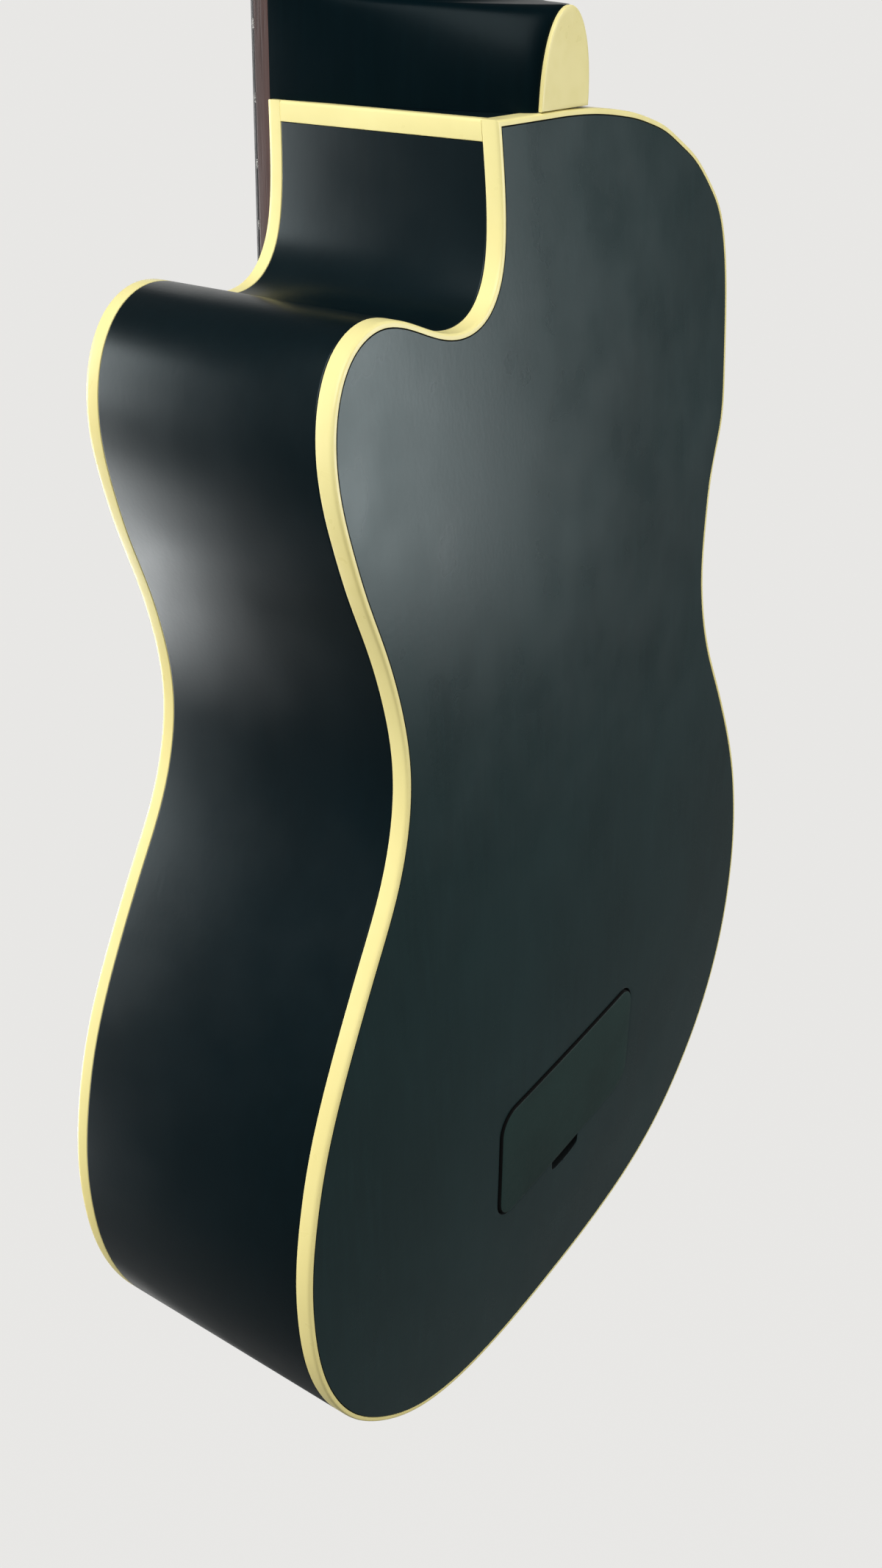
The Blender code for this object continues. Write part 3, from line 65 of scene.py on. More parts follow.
# The body
BODY_LENGTH = 355 * MM
LOWER_BOUT = 248 * MM
WAIST = 156 * MM
UPPER_BOUT = 182 * MM
HORN_REACH = 94 * MM
DEPTH_AT_TAIL = 82.4 * MM
DEPTH_AT_NECK = 62.9 * MM
DOME_RADIUS = 2400 * MM
SOUNDBOARD_THICK = 3.0 * MM
BACK_THICK = 2.8 * MM
SIDE_THICK = 2.6 * MM
BINDING_THICK = 1.3 * MM
BINDING_LINE = 0.28 * MM
SIDE_GAP = 0.12 * MM
FRONT_BINDING_HEIGHT = 3.7 * MM
BACK_BINDING_HEIGHT = 4.2 * MM
CORNER_STRIP_WIDTH = 4.5 * MM
SOUNDHOLE_RADIUS = 34 * MM
SOUNDHOLE_EDGE = 1.6 * MM
SOUNDHOLE_AHEAD = 6 * MM
SEAT = 0.2 * MM
PANEL_WIDTH = 79 * MM
PANEL_LENGTH = 39.6 * MM
PANEL_THICK = 2.2 * MM
PANEL_CORNER = 7 * MM
PANEL_CENTRE = 75 * MM
PANEL_CLEARANCE = 0.6 * MM
PANEL_RECESS = 0.5 * MM
PANEL_PROUD = 0.6 * MM
NOTCH_WIDTH = 16 * MM
NOTCH_DEPTH = 4.6 * MM

# Scale, fingerboard, neck and headstock
SCALE_LENGTH = 516 * MM
FRET_COUNT = 16
BODY_FRET = 12
WIDTH_AT_NUT = 46 * MM
WIDTH_AT_BODY = 55.2 * MM
FINGERBOARD_THICK = 4.4 * MM
FRET_WIDTH = 2.2 * MM
FRET_HEIGHT = 0.9 * MM
FINGERBOARD_TAIL = 8 * MM
NUT_LENGTH = 5 * MM
NUT_ABOVE_FRETS = 2.3 * MM
NECK_THICK_NUT = 15.5 * MM
NECK_THICK_BODY = 18 * MM
HEEL_CURVE = 34 * MM
HEEL_CAP_THICK = 1.0 * MM
HEEL_CAP_WIDTH = 21 * MM
HEEL_CAP_LENGTH = 21 * MM
HEAD_LENGTH = 140 * MM
HEAD_THICK = 14 * MM
HEAD_WIDTH = 72 * MM
HEAD_TILT = math.radians(11)
YOKE_UP_HEAD = 14 * MM

# Strings and bridge
STRING_RADII = (2.3 * MM, 1.9 * MM, 1.55 * MM, 1.25 * MM)
NUT_SPACING = 11.2 * MM
SADDLE_SPACING = 16.5 * MM
NUT_ACTION = 0.5 * MM
MIDDLE_ACTION = 2.2 * MM
STRING_CLEARANCE = 0.15 * MM
KNOT_RADIUS = 4.2 * MM
WRAPS = 1.6
BREAK_ANGLE = math.radians(31)
BRIDGE_WIDTH = 132 * MM
BRIDGE_RIDGE_HEIGHT = 7 * MM
BRIDGE_REAR_HEIGHT = 3.4 * MM
BRIDGE_FRONT_HEIGHT = 3 * MM
BRIDGE_REAR = 16 * MM
BRIDGE_FRONT = 14 * MM
RIDGE_BEHIND = 3 * MM
RIDGE_AHEAD = 5 * MM
STRING_HOLE_BACK = 10 * MM
SADDLE_WIDTH = 76 * MM
SADDLE_THICK = 3 * MM
SADDLE_EDGE = 0.5 * MM
SADDLE_SLOT_FLOOR = 3.2 * MM
PICKUP_THICK = 1.2 * MM
BRIDGE_PLATE_THICK = 2.5 * MM

# Tuning machines
POST_SPREAD = 23 * MM
LOWER_POST = 42 * MM
UPPER_POST = 96 * MM
POST_RADIUS = 4.2 * MM
POST_TOP = 20 * MM
POST_HOLE_RADIUS = 1.6 * MM
LEAST_POST_FACES = 500
WRAP_START = 13.5 * MM
GEAR_TEETH = 14
GEAR_MODULE = 1.0 * MM
GEAR_WIDTH = 3.6 * MM
WORM_RADIUS = 3.2 * MM
WORM_LENGTH = 9.4 * MM
TOOTH_DEPTH = 1.9 * MM
TOOTH_CLEARANCE = 0.12 * MM
THREAD_HALF = 0.23
THREAD_FLANK = 0.13
SHAFT_RADIUS = 1.8 * MM
BASE_THICK = 1.3 * MM
BASE_WIDTH = 20 * MM
BASE_BELOW = 6 * MM
BASE_ABOVE = 9.5 * MM
WORM_OVER_BASE = 0.4 * MM
EAR_THICK = 1.8 * MM
EAR_WALL = 1.8 * MM
BUTTON_LENGTH = 17 * MM
BUTTON_RADIUS = 11 * MM
BUTTON_FLATNESS = 0.42
BUSHING_RADIUS = 7.5 * MM
BUSHING_HEIGHT = 2.5 * MM

# Thumbwheels and end jack
WHEEL_RADIUS = 8 * MM
WHEEL_THICK = 3 * MM
WHEEL_SPACING = 19 * MM
WHEEL_AXLE_RADIUS = 1.8 * MM
WHEEL_GROOVE = 0.5 * MM
WHEEL_RIBS = 32
WHEEL_REACH = 1.5 * MM
CONTROL_THICK = 2 * MM
RUNNING_GAP = 0.1 * MM
JACK_BARREL_RADIUS = 6 * MM
JACK_BORE_RADIUS = 3.3 * MM
JACK_FLANGE_RADIUS = 8.5 * MM
JACK_FLANGE_THICK = 2.5 * MM
JACK_COLLAR_LENGTH = 7 * MM
JACK_LENGTH = 34 * MM

# Places along the instrument
NUT_Z = BODY_LENGTH + SCALE_LENGTH * (1 - 2 ** (-BODY_FRET / 12))
SADDLE_Z = NUT_Z - SCALE_LENGTH
FINGERBOARD_END = NUT_Z - SCALE_LENGTH * (1 - 2 ** (-FRET_COUNT / 12)) - FINGERBOARD_TAIL
SOUNDHOLE_Z = FINGERBOARD_END - SOUNDHOLE_AHEAD - SOUNDHOLE_RADIUS
HEAD_Z = NUT_Z + NUT_LENGTH + 2 * SEAT
FRET_TOP = SEAT + FINGERBOARD_THICK + FRET_HEIGHT
NUT_HEIGHT = FRET_TOP + NUT_ABOVE_FRETS
STRING_AT_NUT = FRET_TOP + NUT_ACTION
STRING_AT_SADDLE = FRET_TOP + NUT_ACTION + 2 * (MIDDLE_ACTION - NUT_ACTION)
GEAR_RADIUS = GEAR_MODULE * GEAR_TEETH / 2
WORM_PITCH = math.pi * GEAR_MODULE
WORM_OFFSET = GEAR_RADIUS + WORM_RADIUS
WORM_CREST = WORM_RADIUS + TOOTH_DEPTH / 2
GEAR_PLANE = -HEAD_THICK - SEAT - BASE_THICK - WORM_CREST - WORM_OVER_BASE
HANGING = np.array([0.0, -HEAD_THICK / 2, -HEAD_Z - YOKE_UP_HEAD])
MACHINES = ((4, -1, LOWER_POST), (3, -1, UPPER_POST), (2, 1, UPPER_POST), (1, 1, LOWER_POST))

# The outline as shares of a bout's half width and of the body's length, from the tail upwards
LOWER_SHAPE = (
    (0.163, 0.0007), (0.325, 0.0043), (0.50, 0.0155), (0.643, 0.0358), (0.771, 0.0682), (0.876, 0.1088),
    (0.946, 0.1539), (0.985, 0.1997), (1.0, 0.2450), (0.998, 0.2901), (0.976, 0.3376), (0.939, 0.3833),
    (0.890, 0.4239), (0.825, 0.4670), (0.756, 0.5082),
)
WAIST_SHAPE = ((1.097, 0.5479), (1.03, 0.5855), (1.0, 0.6272), (1.02, 0.6718), (1.075, 0.7169))
HORN_SHAPE = (
    (0.941, 0.7536), (0.974, 0.7848), (0.997, 0.8156), (0.999, 0.8433), (0.970, 0.8731), (0.904, 0.8959),
    (0.80, 0.9063), (0.686, 0.9008), (0.58, 0.8907), (0.482, 0.8876), (0.40, 0.8944),
    (0.3425, 0.9113), (0.314, 0.9355), (0.3045, 0.9678),
)
CORNER_SHARE = 0.3043
SHOULDER_SHAPE = (
    (0.975, 0.7452), (0.995, 0.7868), (0.999, 0.8314), (0.986, 0.8820), (0.939, 0.9147), (0.869, 0.9341),
    (0.763, 0.9552), (0.662, 0.9683), (0.566, 0.9792), (0.473, 0.9861), (0.386, 0.9911),
    (0.299, 0.9945), (0.15, 0.9985),
)

# The headstock: its place up the face as a share of its length, and its half width as a share of
# the widening from the neck, and then of its whole half width
HEAD_WIDENING = ((0.07, 0.16), (0.12, 0.52), (0.17, 0.84), (0.23, 1.0))
HEAD_NARROWING = ((0.5, 0.985), (0.76, 0.95), (0.88, 0.88), (0.94, 0.70), (0.975, 0.46), (1.0, 0.16))

# Millimetres: roundings of the bridge's corners, radius and height of a dot and of a screw's head
BRIDGE_ROUNDINGS = (0.02, 0.6, 0.6, 0.5, 0.5, 1.2, 1.2, 0.5, 0.02)
DOT_PROFILE = ((0.1, 0.06), (2.2, 0.05), (2.5, 0.02), (2.5, -0.6))
SCREW_PROFILE = (
    (1.55, -0.2), (1.55, 0.25), (1.4, 0.55), (1.15, 0.78), (0.85, 0.92), (0.55, 0.98), (0.3, 1.0),
    (0.05, 1.0),
)
SCREW_PLACES = ((-8.2, 7.5), (8.2, 7.5), (-8.3, -14.4), (8.3, -14.4))
DOTS = ((3, (0,)), (5, (0,)), (7, (0,)), (10, (0,)), (12, (-8, 8)))

# A gear tooth: shares of the pitch and of half the tooth's depth
TOOTH_SHAPE = (
    (-0.32, -1), (-0.27, -0.9), (-0.15, 0.85), (-0.09, 1), (0.09, 1), (0.15, 0.85), (0.27, -0.9),
    (0.32, -1),
)

# Which slot a piece takes with its finish, and the finishes of the solids that stay as they are
HIDDEN_LOOKS = {
    "bare mahogany": "neck_block tail_block bridge_plate front_lining_bass front_lining_treble "
                     "back_lining_bass back_lining_treble",
    "bare spruce": "front_brace_upper front_brace_lower back_brace_upper back_brace_middle "
                   "back_brace_lower",
    "black moulding": "access_frame control_plate",
    "nickel plating": "neck_bolt",
    "pickup braid": "under_saddle_pickup",
}

# Finishes and studio. A lamp has its azimuth, elevation, distance and size
# Painted shade: the near-black colour and high roughness of walls that don't face along Y, for the shade
# in the gap round the access panel and in its finger notch
PAINTED_WALL_SHADE = (0.0004, 0.0006, 0.0006)
WALL_SHADE_ROUGHNESS = 0.95
LAMP_TARGET = (0.0, 0.03, -0.38)
LAMPS = (
    ("key", 22, 48, 1.7, (1.3, 1.3)),
    ("back", 130, 2, 1.5, (0.45, 0.95)),
    ("side", -78, -22, 1.2, (0.5, 0.9)),
    ("front", -62, 8, 1.5, (0.5, 0.8)),
)
FLOOR_RADIUS = 14.0
CAMERA_PLACE = (0.3227, 0.2378, -0.2418)
CAMERA_YAW, CAMERA_PITCH, CAMERA_ROLL = -0.990, 0.518, 0.020


# Grids and meshes

def stacked(*parts):
    """Coordinates that broadcast to one shape, joined along a new last axis."""
    return np.stack(np.broadcast_arrays(*parts), axis=-1)


def quarter(steps):
    """Even angles over a quarter turn, both ends among them."""
    return np.linspace(0, math.pi / 2, steps)


def full_turn(sides):
    """Even angles round a circle, the first not repeated."""
    return 2 * math.pi * np.arange(sides) / sides


def rectangle(left, right, low, high):
    """The four corners, in the order of the counter-clockwise run."""
    return [(left, low), (right, low), (right, high), (left, high)]


def unit(vectors):
    """Each vector divided by its own length."""
    return vectors / np.linalg.norm(vectors, axis=-1, keepdims=True)


def sheet_of(grid, looped=False, around=True, ends=True):
    """Points and faces of a grid. Rows run along the piece, and each row's points run round it.

    Neighbouring points make a four-sided face. Around closes each row on itself, looped joins the
    last row to the first, and ends fills the first and last rows.
    """
    rows, columns = grid.shape[:2]
    index = np.arange(rows * columns).reshape(rows, columns)
    u = np.arange(rows if looped else rows - 1)[:, None]
    v = np.arange(columns if around else columns - 1)[None, :]
    u_next, v_next = (u + 1) % rows, (v + 1) % columns
    corners = [index[u, v], index[u_next, v], index[u_next, v_next], index[u, v_next]]
    faces = np.stack(corners, axis=-1).reshape(-1, 4).tolist()
    if ends and around and not looped:
        faces += [index[0].tolist(), index[-1][::-1].tolist()]
    return grid.reshape(-1, 3), faces


def turned_outwards(points, faces):
    """Faces reversed where the signed volume, a sixth of the triple products of each face's fan of
    triangles, is negative."""
    middle = points - points.mean(axis=0)
    volume = 0.0
    for size in {len(face) for face in faces}:
        ring = middle[np.array([face for face in faces if len(face) == size])]
        first, second, third = ring[:, :1], ring[:, 1:-1], ring[:, 2:]
        volume += (np.cross(second, third) * first).sum() / 6
    return points, [face[::-1] for face in faces] if volume < 0 else faces


def new_object(name, points, faces, smooth=True):
    """A mesh object at the origin, its place in its mesh."""
    mesh = bpy.data.meshes.new(name)
    mesh.from_pydata(points.tolist(), [], faces)
    mesh.update()
    if smooth:
        mesh.shade_smooth()
    made = bpy.data.objects.new(name, mesh)
    bpy.context.scene.collection.objects.link(made)
    return made


def make_piece(name, look, nodes, *grids, looped=False, body="instrument", sharp=SHARP_ANGLE):
    """One mesh from closed grids, moved to where the instrument hangs, riding on a body. A piece
    that replaces solids takes the slot that goes with its finish."""
    points, faces, start = [], [], 0
    for grid in grids:
        some_points, some_faces = turned_outwards(*sheet_of(grid, looped))
        points.append(some_points)
        faces += [[corner + start for corner in face] for face in some_faces]
        start += len(some_points)
    made = new_object(name, np.vstack(points) + HANGING, faces)
    stop_unless(len(made.data.polygons) == len(faces), name)
    made.data.set_sharp_from_angle(angle=math.radians(sharp))
    made.data.materials.append(finish(look))
    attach(made, body)
    if nodes:
        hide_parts(*nodes)
    return made


# Curves and sections

def natural_cubic(points, steps):
    """A natural cubic curve through the points, its parameter the length of the chords."""
    points = np.asarray(points, float)
    h = np.linalg.norm(np.diff(points, axis=0), axis=1)
    system = np.diag(np.r_[1, 2 * (h[:-1] + h[1:]), 1])
    system += np.diag(np.r_[h[:-1], 0], -1) + np.diag(np.r_[0, h[1:]], 1)
    right = np.zeros_like(points)
    right[1:-1] = 6 * np.diff(np.diff(points, axis=0) / h[:, None], axis=0)
    bend = np.linalg.solve(system, right)
    h = h[:, None, None]
    t = np.arange(steps)[None, :, None] / steps * h
    s = h - t
    bend_here, bend_there = bend[:-1, None], bend[1:, None]
    here, there = points[:-1, None], points[1:, None]
    curve = (bend_here * s**3 + bend_there * t**3) / (6 * h)
    curve += (here / h - bend_here * h / 6) * s + (there / h - bend_there * h / 6) * t
    return np.vstack([curve.reshape(-1, points.shape[1]), points[-1:]])


def run_of(points):
    """The length run at each point: the sum of the chords before it."""
    return np.r_[0, np.cumsum(np.linalg.norm(np.diff(points, axis=0), axis=1))]


def evenly(points, spacing):
    """The same line, with points at even steps along it."""
    run = run_of(points)
    at = np.linspace(0, run[-1], int(round(run[-1] / spacing)) + 1)
    return np.stack([np.interp(at, run, column) for column in points.T], axis=1)


def trimmed(points, from_start, from_end):
    """An open line, shortened at its ends by these lengths."""
    run = run_of(points)
    low, high = from_start, run[-1] - from_end
    at = np.r_[low, run[(run > low + 1e-4) & (run < high - 1e-4)], high]
    return np.stack([np.interp(at, run, column) for column in points.T], axis=1)


def rounded(corners, radius, steps=5):
    """A closed polygon with its corners rounded: each becomes a quadratic curve between the points
    one radius away on its two edges, or less than half an edge where that is shorter."""
    corners = np.asarray(corners, float)
    radius = np.broadcast_to(radius, len(corners))[:, None]
    before = np.roll(corners, 1, axis=0) - corners
    after = np.roll(corners, -1, axis=0) - corners
    start, end = (
        corners + edge * np.minimum(radius / np.linalg.norm(edge, axis=1, keepdims=True), 0.45)
        for edge in (before, after)
    )
    t = np.linspace(0, 1, steps)[None, :, None]
    curve = (1 - t) ** 2 * start[:, None] + 2 * t * (1 - t) * corners[:, None] + t**2 * end[:, None]
    return curve.reshape(-1, corners.shape[1])


def rounded_rectangle(width, length, corner, centre=(0.0, 0.0), steps=10):
    """Quarter circles about four corner centres, joined by straight edges."""
    angle = math.pi / 2 * (np.arange(4)[:, None] + np.linspace(0, 1, steps)[None, :])
    signs = np.array([(1, 1), (-1, 1), (-1, -1), (1, -1)])[:, None]
    middle = signs * (np.array([width, length]) / 2 - corner) + centre
    return (middle + corner * stacked(np.cos(angle), np.sin(angle))).reshape(-1, 2)


def inset(points, distance, closed=True):
    """A line moved to the right of its run: each point goes along the middle of its two normals."""
    steps = unit(np.roll(points, -1, axis=0) - points)
    after = stacked(steps[:, 1], -steps[:, 0])
    before = np.roll(after, 1, axis=0)
    if not closed:
        before[0], after[-1] = after[0], before[-1]
    middle = unit(before + after)
    return points + distance * middle / (middle * after).sum(axis=1)[:, None]


# The body's forms

def body_runs(spacing=1.5 * MM):
    """The outline in X and Z: the treble run down to the tail, the bass run up, and the top edge."""
    def sized(shape, half):
        return [(across * half, along * BODY_LENGTH) for across, along in shape]

    lower = sized(LOWER_SHAPE, LOWER_BOUT / 2) + sized(WAIST_SHAPE, WAIST / 2)
    corner = sized([(CORNER_SHARE, 1)], HORN_REACH)
    treble = corner + (lower + sized(HORN_SHAPE, HORN_REACH))[::-1]
    bass = [(-x, z) for x, z in lower + sized(SHOULDER_SHAPE, UPPER_BOUT / 2)]
    steps = 40
    curve = natural_cubic(treble + [(0.0, 0.0)] + bass + [(0.0, BODY_LENGTH)], steps)
    tail = len(treble) * steps
    top = np.array([(0.0, BODY_LENGTH), corner[0]])
    return evenly(curve[: tail + 1], spacing), evenly(curve[tail:], spacing), evenly(top, spacing)


def body_outline():
    """The whole outline as one closed line, its last point not repeated."""
    treble, bass, top = body_runs()
    return np.vstack([treble[:-1], bass[:-1], top[:-1]])


def back_depth(x, z):
    """Depth of the back's outer face: a plane sloping from the tail to the neck, with a dome on it."""
    sloping = DEPTH_AT_TAIL + (DEPTH_AT_NECK - DEPTH_AT_TAIL) * z / BODY_LENGTH
    return sloping + (BODY_LENGTH * z - z**2 - x**2) / (2 * DOME_RADIUS)


def from_front(offset):
    """Depth of a surface this far behind the soundboard's outer face."""
    return lambda x, z: offset + 0 * x


def from_back(offset):
    """Depth of a surface this far in front of the back's outer face."""
    return lambda x, z: back_depth(x, z) - offset


def carried(run, section, closed):
    """A section carried along the outline: each corner keeps its inset and its depth."""
    columns = []
    for distance, depth in section:
        x, z = inset(run, distance, closed).T
        columns.append(stacked(x, depth(x, z), z))
    return np.stack(columns, axis=1)


def opening_points(outline, centre, opening):
    """Where the rays from a centre through the outline's points leave the opening, whose distance
    from the centre is read at each ray's angle."""
    outwards, hole = outline - centre, opening - centre
    angle, hole_angle = (np.arctan2(part[:, 1], part[:, 0]) for part in (outwards, hole))
    order = np.argsort(hole_angle)
    reach = np.interp(angle, hole_angle[order], np.hypot(*hole.T)[order], period=2 * math.pi)
    return centre + unit(outwards) * reach[:, None]


def plate_with_hole(outline, centre, opening, depth, thick, inwards, edge=0.4 * MM, rows=36):
    """A plate between an opening and the outline, as a closed loop round its section.

    Its face runs along each ray with a rounded edge at the opening, then its rim, its inner face
    and the opening's wall. The depth function places the outer face, and inwards is +1 or -1.
    """
    near = opening_points(outline, np.asarray(centre), opening)
    turn = quarter(6)
    share = np.r_[np.zeros(6), np.linspace(0, 1, rows)[1:], np.linspace(1, 0, rows // 2)]
    beyond = np.r_[edge * (1 - np.cos(turn)), np.zeros(len(share) - 6)]
    down = np.r_[edge * (1 - np.sin(turn)), np.zeros(rows - 1), np.full(rows // 2, thick)]
    along = outline - near
    at = near + along * share[:, None, None] + unit(along) * beyond[:, None, None]
    x, z = at[..., 0], at[..., 1]
    return stacked(x, depth(x, z) + inwards * down[:, None], z)


def domed_slab(outline, centre, near, far, edge, rows=14):
    """A plate without a hole: rings that shrink towards a centre on both faces, with rounded edges.

    The near and far depth functions place the two faces. The rounding takes an arc off both edges.
    """
    turn = quarter(5)
    pull, level = edge * (1 - np.sin(turn)), edge * (1 - np.cos(turn))
    face = centre + (inset(outline, edge) - centre) * np.linspace(0.004, 1, rows)[:, None, None]
    rim = np.stack([inset(outline, amount) for amount in pull])
    at = np.concatenate([face[:-1], rim, rim[::-1], face[::-1][1:]])
    x, z = at[..., 0], at[..., 1]
    drop = np.r_[np.zeros(rows - 1), level, level[::-1], np.zeros(rows - 1)][:, None]
    on_top = (np.arange(len(at)) < len(at) // 2)[:, None]
    return stacked(x, np.where(on_top, far(x, z) - drop, near(x, z) + drop), z)


def turned(profile, sides, centre, along="Y", ripple=None):
    """A profile of radii and heights turned about an axis. A ripple scales the radius by the angle."""
    profile, angle = np.asarray(profile, float), full_turn(sides)
    radius, height = profile[:, :1] * (ripple(angle, profile) if ripple else 1.0), profile[:, 1:]
    across, up = radius * np.cos(angle), radius * np.sin(angle)
    return (stacked(across, height, up) if along == "Y" else stacked(across, up, height)) + centre


def bar(profile, half, bevel):
    """A profile in Y and Z carried straight along X, drawn in a little at both ends."""
    profile = np.asarray(profile, float)
    middle = profile.mean(axis=0)
    size = np.abs(profile - middle).max(axis=0)
    turn = quarter(4)
    x = bevel * (1 - np.cos(turn)) - half
    pull = bevel * (1 - np.sin(np.r_[turn, turn[::-1]]))
    at = middle + (profile - middle) * (1 - pull[:, None, None] / size)
    return stacked(np.r_[x, -x[::-1]][:, None], at[..., 0], at[..., 1])


def tube(points, radii, side, up, sides):
    """Circles of the given radius about a path, in the plane of its two cross directions."""
    angle = full_turn(sides)[None, :, None]
    across = np.cos(angle) * side[:, None] + np.sin(angle) * up[:, None]
    return points[:, None] + radii[:, None, None] * across


def to_head(u, v, w):
    """Points of the headstock: u across, v up along its face and w out of its face."""
    tilt_sin, tilt_cos = math.sin(HEAD_TILT), math.cos(HEAD_TILT)
    return stacked(u, v * tilt_sin - w * tilt_cos, HEAD_Z + v * tilt_cos + w * tilt_sin)


def half_width(z):
    """Half the width of the fingerboard and of the neck's top."""
    share = (NUT_Z - z) / (NUT_Z - BODY_LENGTH)
    return (WIDTH_AT_NUT + (WIDTH_AT_BODY - WIDTH_AT_NUT) * share) / 2


# Finishes

class Finish:
    """A material's node tree, with short calls that add and join its nodes."""

    def __init__(self, name, colour, roughness, metallic=0.0, specular=0.5):
        self.material = bpy.data.materials.new(name)
        self.material.use_nodes = True
        self.material.diffuse_color = (*colour, 1.0)
        self.tree = self.material.node_tree
        self.shader = self.tree.nodes["Principled BSDF"]
        self.fill(self.shader, {
            "Base Color": (*colour, 1.0), "Roughness": roughness, "Metallic": metallic,
            "Specular IOR Level": specular,
        })
        self.place = self.add("ShaderNodeTexCoord").outputs["Object"]

    def fill(self, node, inputs):
        """Joins a node's inputs to other nodes' outputs, or sets them to values."""
        for socket, value in inputs.items():
            if isinstance(value, bpy.types.NodeSocket):
                self.tree.links.new(value, node.inputs[socket])
            else:
                node.inputs[socket].default_value = value

    def add(self, kind, inputs=None, **settings):
        made = self.tree.nodes.new(kind)
        for name, value in settings.items():
            setattr(made, name, value)
        self.fill(made, inputs or {})
        return made

    def stretched(self, *scale):
        """The object's coordinates, scaled along each axis."""
        return self.add("ShaderNodeMapping", {"Vector": self.place, "Scale": scale}).outputs["Vector"]

    def noise(self, scale, detail=2.0, vector=None, roughness=0.5, distortion=0.0):
        return self.add("ShaderNodeTexNoise", {
            "Vector": vector or self.place, "Scale": scale, "Detail": detail, "Roughness": roughness,
            "Distortion": distortion,
        }).outputs["Fac"]

    def ranged(self, value, low, high, to_low, to_high):
        return self.add("ShaderNodeMapRange", {
            "Value": value, "From Min": low, "From Max": high, "To Min": to_low, "To Max": to_high,
        }).outputs["Result"]

    def blend(self, share, first, second):
        """First mixed towards second. Each is a colour or another node's output."""
        first, second = (
            part if isinstance(part, bpy.types.NodeSocket) else (*part, 1.0) for part in (first, second)
        )
        inputs = {"Factor": share, 6: first, 7: second}
        return self.add("ShaderNodeMix", inputs, data_type="RGBA").outputs[2]

    def mixed(self, value, low, high, first, second, most=1):
        """First mixed towards second, by this much at most, as the value goes from low to high."""
        return self.blend(self.ranged(value, low, high, 0, most), first, second)

    def combined(self, first, second, kind="ADD"):
        return self.add("ShaderNodeMath", {0: first, 1: second}, operation=kind).outputs["Value"]

    def surface(self, tone, gloss, cut=False):
        """Colour and roughness. With cut, a surface that doesn't face along Y, as on the wall of an
        opening, takes painted shade: it is painted nearly black and made rough, for the shade in the
        gap. The square of the normal's Y tells the two apart."""
        if cut:
            facing = self.add("ShaderNodeSeparateXYZ", {"Vector": self.place.node.outputs["Normal"]})
            across = facing.outputs["Y"]
            flat = self.ranged(self.combined(across, across, "MULTIPLY"), 0.6, 0.9, 0, 1)
            # Painted shade: walls that don't face along Y take the near-black colour
            tone = self.blend(flat, PAINTED_WALL_SHADE, tone)
            smoother = self.combined(flat, self.combined(WALL_SHADE_ROUGHNESS, gloss, "SUBTRACT"), "MULTIPLY")
            gloss = self.combined(WALL_SHADE_ROUGHNESS, smoother, "SUBTRACT")
        self.fill(self.shader, {"Base Color": tone, "Roughness": gloss})

    def relief(self, height, distance, strength=1.0):
        """Bumps this high, in metres, where the value goes from 0 to 1."""
        bump = self.add("ShaderNodeBump", {"Height": height, "Distance": distance, "Strength": strength})
        self.fill(self.shader, {"Normal": bump.outputs["Normal"]})


def scaled(colour, factor):
    """A colour made lighter or darker, no part of it over 1."""
    return tuple(min(part * factor, 1.0) for part in colour)


def lacquer(name, colour, roughness, specular, cut=False):
    """Satin lacquer over wood: a fine orange peel, grain that shows faintly through, cloudy changes of
    colour and gloss, and a few specks of dust. With cut, the walls of its openings take painted shade."""
    made = Finish(name, colour, roughness, specular=specular)
    made.fill(made.shader, {"Specular Tint": (0.8, 0.97, 1.0, 1.0)})
    cloud = made.noise(14, 3)
    grain = made.noise(60, 4, made.stretched(9, 9, 0.7), 0.6)
    tone = made.mixed(cloud, 0.35, 0.65, scaled(colour, 0.86), scaled(colour, 1.16))
    tone = made.mixed(grain, 0.45, 0.75, tone, scaled(colour, 1.5), 0.3)
    cells = made.add("ShaderNodeTexVoronoi", {"Scale": 38, "Vector": made.stretched(1, 1, 0.45)})
    speck = made.ranged(cells.outputs["Distance"], 0.013, 0.009, 0, 1)
    chance = made.add("ShaderNodeSeparateColor", {"Color": cells.outputs["Color"]}).outputs["Red"]
    speck = made.combined(speck, made.ranged(chance, 0.90, 0.91, 0, 1), "MULTIPLY")
    tone = made.blend(speck, tone, (0.34, 0.35, 0.34))
    haze = 0.03
    gloss = made.ranged(made.noise(55, 3), 0.3, 0.7, roughness - haze, roughness + haze)
    # With cut, the walls of openings take painted shade
    made.surface(tone, gloss, cut)
    made.relief(made.combined(made.noise(900, 2), made.ranged(grain, 0, 1, 0, 0.5)), 0.000012)


def ivory(name, colour, shade):
    """Cream plastic: long soft streaks, slow yellowing, a light polish and fine scratches."""
    made = Finish(name, colour, 0.34, specular=0.35)
    age = made.noise(11, 2)
    streak = made.noise(70, 3, made.stretched(1, 1, 0.25))
    tone = made.mixed(age, 0.3, 0.7, colour, shade)
    made.surface(
        made.mixed(streak, 0.4, 0.8, tone, scaled(colour, 1.12), 0.35),
        made.ranged(made.noise(240, 2), 0.3, 0.7, 0.27, 0.42),
    )
    made.relief(made.noise(700, 2, made.stretched(1, 1, 0.12)), 0.000008)


